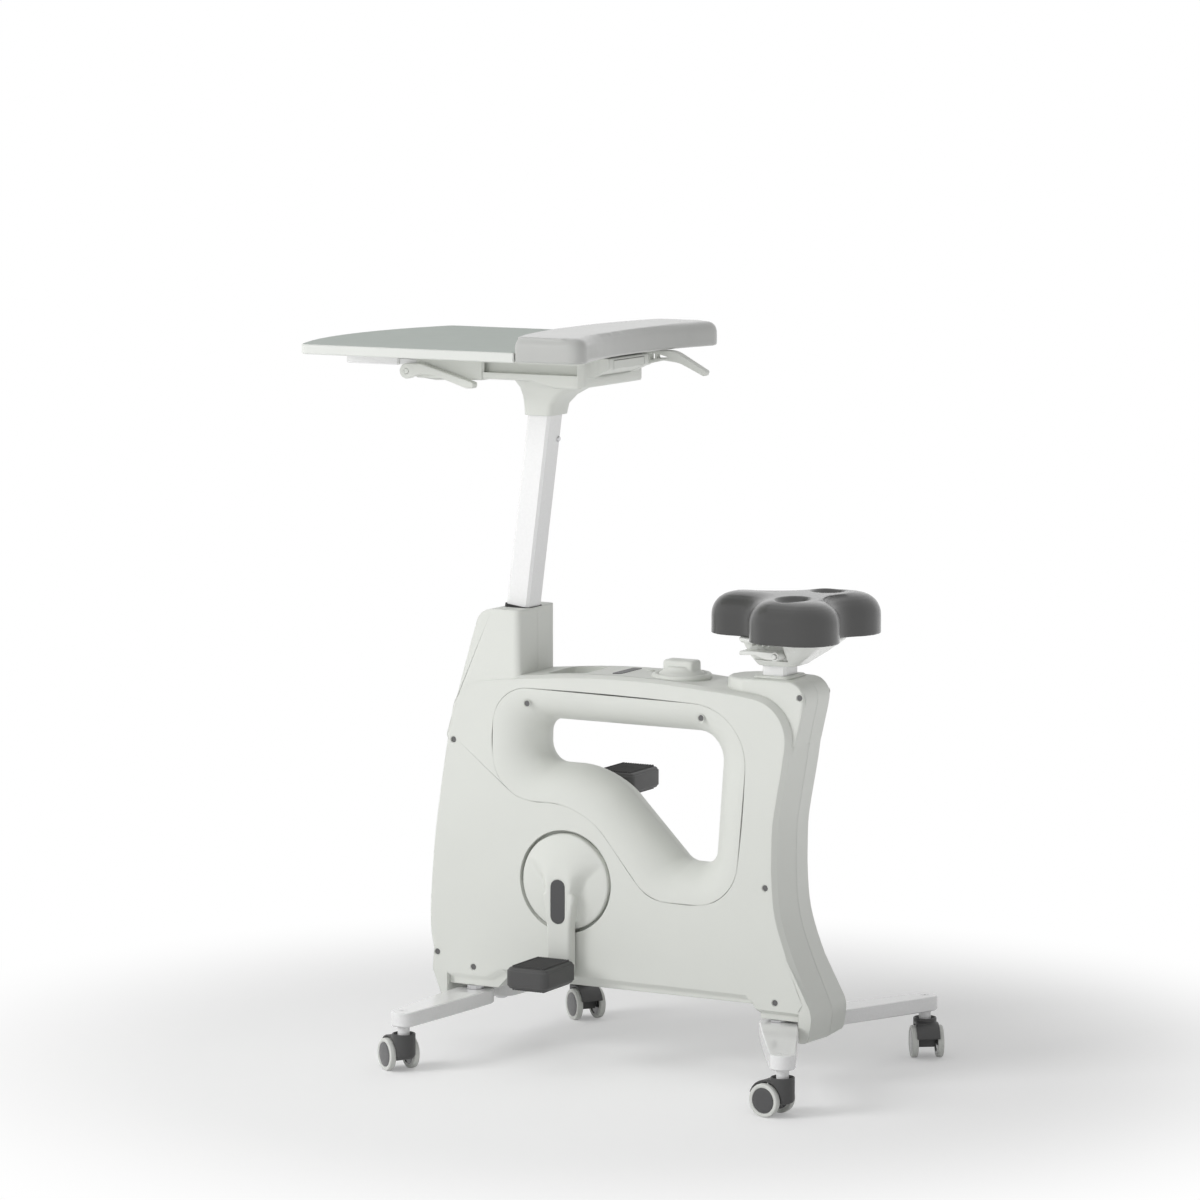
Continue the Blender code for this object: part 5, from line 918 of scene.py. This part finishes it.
# Pedals. A dark block with round corners turns on its spindle, and it is the same on both treads.
# Each tread is a rubber mat with a raised toothed border round a field of small studs.
PEDAL_CORNER = 0.012
CROWN_DEPTH = 0.0062
PEDAL_CROWN = [(0.0007, 0.0008), (0.0010, 0.0001), (0.0009, 0.0024), (0.0014, 0.0012), (0.0022, 0.0005),
               (0.0030, 0.0001)]
MAT_MARGIN = 0.0085
MAT_BED = 0.0004
BORDER_WIDTH = 0.0032
BORDER_GAP = 0.0016
TOOTH_PITCH = 0.0042
TOOTH_SHARE = 0.86
TOOTH_HEIGHT = 0.0032
TOOTH_LIFT = 0.0002
TOOTH_PINCH = (0.55, 0.8)
STUD_PITCH = 0.0036
STUD_FOOT = 0.66 * STUD_PITCH
STUD_TIP = 0.22 * STUD_PITCH
STUD_HEIGHT = 0.0018
STUD_LIFT = 0.0004
BACKING = 0.0006
BACKING_DEPTH = 0.0005
BACKING_EDGE = 0.0004
BACKING_CORNER = 0.005
mat_black = grained("mat_black", (0.045, 0.045, 0.045), roughness=0.62, grain=1100.0, depth=0.0001)


def pedal_block(low, high):
    """The pedal's body with a shallow tread bed on each side, built as one half and its mirror."""
    bm = bmesh.new()
    middle = (low.z + high.z) / 2
    face = rounded_plate(bm, low, high, PEDAL_CORNER, middle, steps=8)
    raised(bm, face, high.z - middle - CROWN_DEPTH, PEDAL_CROWN)
    bmesh.ops.delete(bm, geom=[face], context="FACES_ONLY")
    half_shape = bm.verts[:] + bm.edges[:] + bm.faces[:]
    bmesh.ops.mirror(bm, geom=half_shape, matrix=Matrix.Translation((0, 0, -middle)), merge_dist=-1.0,
                     axis="Z")
    bmesh.ops.remove_doubles(bm, verts=bm.verts, dist=WELD)
    bmesh.ops.recalc_face_normals(bm, faces=bm.faces)
    return bm


def add_studs(bm, centre, field, way):
    """Add a field of four-sided studs that point up or down."""
    turn = Matrix.Rotation(math.pi / 4, 4, "Z")
    if way < 0:
        turn = Matrix.Rotation(math.pi, 4, "X") @ turn
    columns = int(field.x / STUD_PITCH)
    rows = int(field.y / STUD_PITCH)
    for i in range(columns):
        for j in range(rows):
            spot = (centre.x + (i - (columns - 1) / 2) * STUD_PITCH,
                    centre.y + (j - (rows - 1) / 2) * STUD_PITCH, centre.z + way * STUD_LIFT)
            bmesh.ops.create_cone(bm, cap_ends=True, segments=4, radius1=STUD_FOOT, radius2=STUD_TIP,
                                  depth=STUD_HEIGHT, matrix=Matrix.Translation(spot) @ turn)


def add_teeth(bm, centre, size, way, axis):
    """Add the two rows of border teeth that run along an axis."""
    length = size[axis]
    count = int(length / TOOTH_PITCH)
    tooth = Vector((BORDER_WIDTH, BORDER_WIDTH, TOOTH_HEIGHT))
    tooth[axis] = length / count * TOOTH_SHARE
    pinch = Vector((TOOTH_PINCH[1], TOOTH_PINCH[1], 1.0))
    pinch[axis] = TOOTH_PINCH[0]
    spot = Vector((0, 0, centre.z + way * TOOTH_LIFT))
    for edge in (-1, 1):
        spot[1 - axis] = centre[1 - axis] + edge * (size[1 - axis] - BORDER_WIDTH) / 2
        for i in range(count):
            spot[axis] = centre[axis] + (i - (count - 1) / 2) * length / count
            verts = add_block(bm, tooth, (0, 0, 0))
            bmesh.ops.scale(bm, vec=pinch, verts=[v for v in verts if v.co.z * way > 0])
            bmesh.ops.translate(bm, verts=verts, vec=spot)


def tread_mat(low, high, way):
    """One mat: studs in the middle, a toothed border and a thin backing."""
    bm = bmesh.new()
    bed = high.z - MAT_BED if way > 0 else low.z + MAT_BED
    centre = Vector(((low.x + high.x) / 2, (low.y + high.y) / 2, bed))
    size = Vector((high.x - low.x - 2 * MAT_MARGIN, high.y - low.y - 2 * MAT_MARGIN))
    inset = BORDER_WIDTH + BORDER_GAP
    add_studs(bm, centre, size - Vector((2 * inset, 2 * inset)), way)
    for axis in (0, 1):
        add_teeth(bm, centre, size, way, axis)
    reach = size / 2 + Vector((BACKING_EDGE, BACKING_EDGE))
    face = rounded_plate(bm, centre.to_2d() - reach, centre.to_2d() + reach, BACKING_CORNER,
                         bed - BACKING_DEPTH, steps=6)
    raised(bm, face, BACKING)
    bmesh.ops.recalc_face_normals(bm, faces=bm.faces)
    return bm


for side in ("left", "right"):
    node = side + "_pedal"
    low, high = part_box(node)
    block = show(pedal_block(low, high), side + "_pedal_block", [dark_plastic])
    stand_for(block, node)
    for way, label in ((1, "top"), (-1, "under")):
        mat = show(tread_mat(low, high, way), f"{side}_pedal_{label}_mat", [mat_black])
        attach(mat, frame["nodes"][node]["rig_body"])

# Seat. A moulded foam cushion with a charcoal skin, three-lobed, with two dimples for the sit bones.
# A glossy plastic pan holds it on the post, and a light lever in the pan frees the gas spring.
CREASE_SCALE = 160.0
SKIN_DRIFT_SCALE = 14.0
PORE_EDGE = 0.12
PORE_LIFT = 0.7
PORE_DEPTH = 0.00008
PORE_STRENGTH = 0.4
SKIN_DRIFT = 0.12
SKIN_ROUGHNESS = (0.38, 0.50)
SKIN_COAT = 0.8
SKIN_COAT_ROUGHNESS = 0.22
SHEEN_ROUGHNESS = 0.3
NOSE_HALF = 0.047
WAIST_Y = -0.265
SIDE_Y = -0.291
NOTCH = (0.052, 0.040)
SEAT_WALL = 0.030
SEAT_CROWN = [(0.0012, 0.0075), (0.0038, 0.0085), (0.0065, 0.0078), (0.0085, 0.0052), (0.0090, 0.0028),
              (0.0090, 0.0012)]
SEAT_FOOT = 0.004
SEAT_TOP_BAND = 0.012
CUSHION_LIFT = 0.0018
CUSHION_SINK = 0.0004
CROWN_LENGTH = 0.118
DIMPLE_PLACE = (0.0600, -0.3360)
DIMPLE_SIZE = (0.0350, 0.0270)
DIMPLE_DEPTH = 0.0085
DIMPLE_EDGE = 0.30
PAN_PASSES = 24
POCKET_SIDE = 0.020
POCKET_Y = (-0.014, 0.114)
POCKET_Z = (-0.014, 0.021)


def skin_pores_group():
    """Fine leather-like pores for soft moulded skins, with a faint drift of tone."""
    tree, start, end = new_group(
        "skin_pores", [("Colour", "Color"), ("Pores", "Float"), ("Drift", "Float")],
        [("Colour", "Color"), ("Roughness", "Float"), ("Height", "Float")])
    place = add_node(tree, "ShaderNodeTexCoord").outputs["Object"]
    cells = add_node(tree, "ShaderNodeTexVoronoi", {"Vector": place, "Scale": start.outputs["Pores"]},
                     feature="DISTANCE_TO_EDGE")
    creases = add_node(tree, "ShaderNodeTexNoise", {"Vector": place, "Scale": CREASE_SCALE, "Detail": 5.0})
    drift = add_node(tree, "ShaderNodeTexNoise", {"Vector": place, "Scale": SKIN_DRIFT_SCALE, "Detail": 3.0})
    lift = add_node(tree, "ShaderNodeMapRange", {"Value": cells.outputs["Distance"], "From Max": PORE_EDGE,
                                                 "To Max": PORE_LIFT})
    height = add_node(tree, "ShaderNodeMath", {0: creases.outputs["Fac"], 1: 0.5, 2: lift.outputs[0]},
                      operation="MULTIPLY_ADD")
    centred = add_node(tree, "ShaderNodeMath", {0: drift.outputs["Fac"], 1: 0.5}, operation="SUBTRACT")
    level = add_node(tree, "ShaderNodeMath", {0: centred.outputs[0], 1: start.outputs["Drift"], 2: 1.0},
                     operation="MULTIPLY_ADD")
    toned = add_node(tree, "ShaderNodeVectorMath", {0: start.outputs["Colour"], "Scale": level.outputs[0]},
                     operation="SCALE")
    rough = add_node(tree, "ShaderNodeMapRange", {"Value": creases.outputs["Fac"],
                                                  "To Min": SKIN_ROUGHNESS[0], "To Max": SKIN_ROUGHNESS[1]})
    tree.links.new(toned.outputs[0], end.inputs["Colour"])
    tree.links.new(rough.outputs[0], end.inputs["Roughness"])
    tree.links.new(height.outputs[0], end.inputs["Height"])
    return tree


SKIN_PORES = skin_pores_group()


def soft_skin(name, colour, pores, sheen):
    """A soft polyurethane skin over foam."""
    made, _ = surfaced(
        name, SKIN_PORES, {"Colour": (*colour, 1.0), "Pores": pores, "Drift": SKIN_DRIFT},
        {"Sheen Weight": sheen, "Sheen Roughness": SHEEN_ROUGHNESS, "Coat Weight": SKIN_COAT,
         "Coat Roughness": SKIN_COAT_ROUGHNESS}, PORE_DEPTH, PORE_STRENGTH)
    return made


def seat_foam(low, high):
    """The cushion's form: straight sides, a round top edge, then the dimples pressed into an even skin."""
    side = high.x
    bm = bmesh.new()
    corners = [(NOSE_HALF, high.y, 0.043), (-NOSE_HALF, high.y, 0.043), (-NOSE_HALF, WAIST_Y, 0.036),
               (-side, SIDE_Y, 0.046), (-side, low.y, 0.052), (-NOTCH[0], low.y, 0.050),
               (0.0, low.y + NOTCH[1], 0.046), (NOTCH[0], low.y, 0.050), (side, low.y, 0.052),
               (side, SIDE_Y, 0.046), (NOSE_HALF, WAIST_Y, 0.036)]
    face = rounded_outline(bm, corners, low.z)
    raised(bm, face, SEAT_WALL, SEAT_CROWN)
    bmesh.ops.recalc_face_normals(bm, faces=bm.faces)
    skin = remeshed(bm, voxel=0.0022, passes=5, above=low.z + SEAT_FOOT)
    across, along = DIMPLE_PLACE
    wide, deep = DIMPLE_SIZE
    for vert in skin.verts:
        if vert.co.z < high.z - SEAT_TOP_BAND:
            continue
        for way in (-1, 1):
            far = math.hypot((vert.co.x - way * across) / wide, (vert.co.y - along) / deep)
            vert.co.z -= DIMPLE_DEPTH * smooth_step((1.0 - far) / DIMPLE_EDGE)
        crown = math.hypot(vert.co.x / side, (vert.co.y - (low.y + high.y) / 2) / CROWN_LENGTH)
        vert.co.z += CUSHION_LIFT * max(0.0, 1.0 - crown) - CUSHION_SINK
    return skin


charcoal_skin = soft_skin("charcoal_skin", (0.029, 0.029, 0.028), pores=620.0, sheen=0.36)
cushion = show(seat_foam(*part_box("seat_cushion")), "seat_cushion_foam", [charcoal_skin], crease=70)
stand_for(cushion, "seat_cushion")
pan_gloss = grained("pan_gloss", (0.76, 0.77, 0.74), roughness=0.26, grain=900.0, depth=0.00003, coat=0.3)
lever_spot = joint_spot("seat_lever_lift")


def in_pocket(spot):
    """Whether a spot lies in the pan's pocket for the lever, with its ribs."""
    away = spot - lever_spot
    beside = away.x < POCKET_SIDE and POCKET_Y[0] < away.y < POCKET_Y[1]
    return beside and POCKET_Z[0] < away.z < POCKET_Z[1]


for node in ("seat_pan", "seat_lever"):
    skin = remeshed(merged(node), voxel=0.0009, passes=3)
    if node == "seat_pan":
        smoothed(skin, [v for v in skin.verts if not in_pocket(v.co)], PAN_PASSES)
    stand_for(show(skin, node + "_moulding", [pan_gloss], crease=50), node)

# Desk. The top is a board with a grey-green grained face and an off-white edge, on a tray that slides.
# Its palm rest is foam in a light grey skin, bowed to the sitter and round at the ends.
FACES_UP = 0.95
PALM_NEAR = -0.076
PALM_DEPTH = 0.118
PALM_BOW = 0.068
PALM_CURVE = 0.040
PALM_CROWN = [(0.0008, 0.0050), (0.0022, 0.0048), (0.0040, 0.0038), (0.0055, 0.0021), (0.0070, 0.0008)]
desk_face = grained("desk_face", (0.44, 0.485, 0.45), roughness=0.55, grain=620.0, depth=0.0002,
                    drift=0.04, wear=0.0)
desk_edge = grained("desk_edge", (0.70, 0.715, 0.685), roughness=0.45, grain=1500.0, depth=0.0001)
bm = rounder(merged("desktop"), "Z", cuts=5)
for face in bm.faces:
    face.material_index = 0 if face.normal.z > FACES_UP else 1
desktop = show(bm, "desktop_board", [desk_face, desk_edge])
weigh_normals(desktop)
stand_for(desktop, "desktop")


def palm_foam(low, high):
    """The palm rest's bowed block with a soft top edge."""
    bm = bmesh.new()
    side = high.x
    far = PALM_NEAR + PALM_DEPTH
    corners = [(side, far, 0.008), (0.0, far + 2 * PALM_CURVE, 0.630), (-side, far, 0.008),
               (-side, PALM_NEAR, 0.022), (0.0, PALM_NEAR + PALM_BOW, 0.600), (side, PALM_NEAR, 0.022)]
    face = rounded_outline(bm, corners, low.z)
    raised(bm, face, high.z - low.z - crown_height(PALM_CROWN), PALM_CROWN)
    bmesh.ops.recalc_face_normals(bm, faces=bm.faces)
    return remeshed(bm, voxel=0.0022, passes=7)


pale_skin = soft_skin("pale_skin", (0.45, 0.455, 0.44), pores=700.0, sheen=0.08)
palm = show(palm_foam(*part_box("palm_rest")), "palm_rest_foam", [pale_skin], crease=70)
stand_for(palm, "palm_rest")

# Head and levers. The moulded head clamps the column's top and carries the slides of the desk top.
# A lever on each side and a paddle at the rear free the height and the slide.
moulding("head_bracket", casing_plastic, "X")
moulding("rear_paddle", casing_plastic, "X")
for side in ("left", "right"):
    bm = remeshed(merged(side + "_lever"), voxel=0.0007, passes=3)
    stand_for(show(bm, side + "_lever_moulding", [casing_plastic], crease=50), side + "_lever")
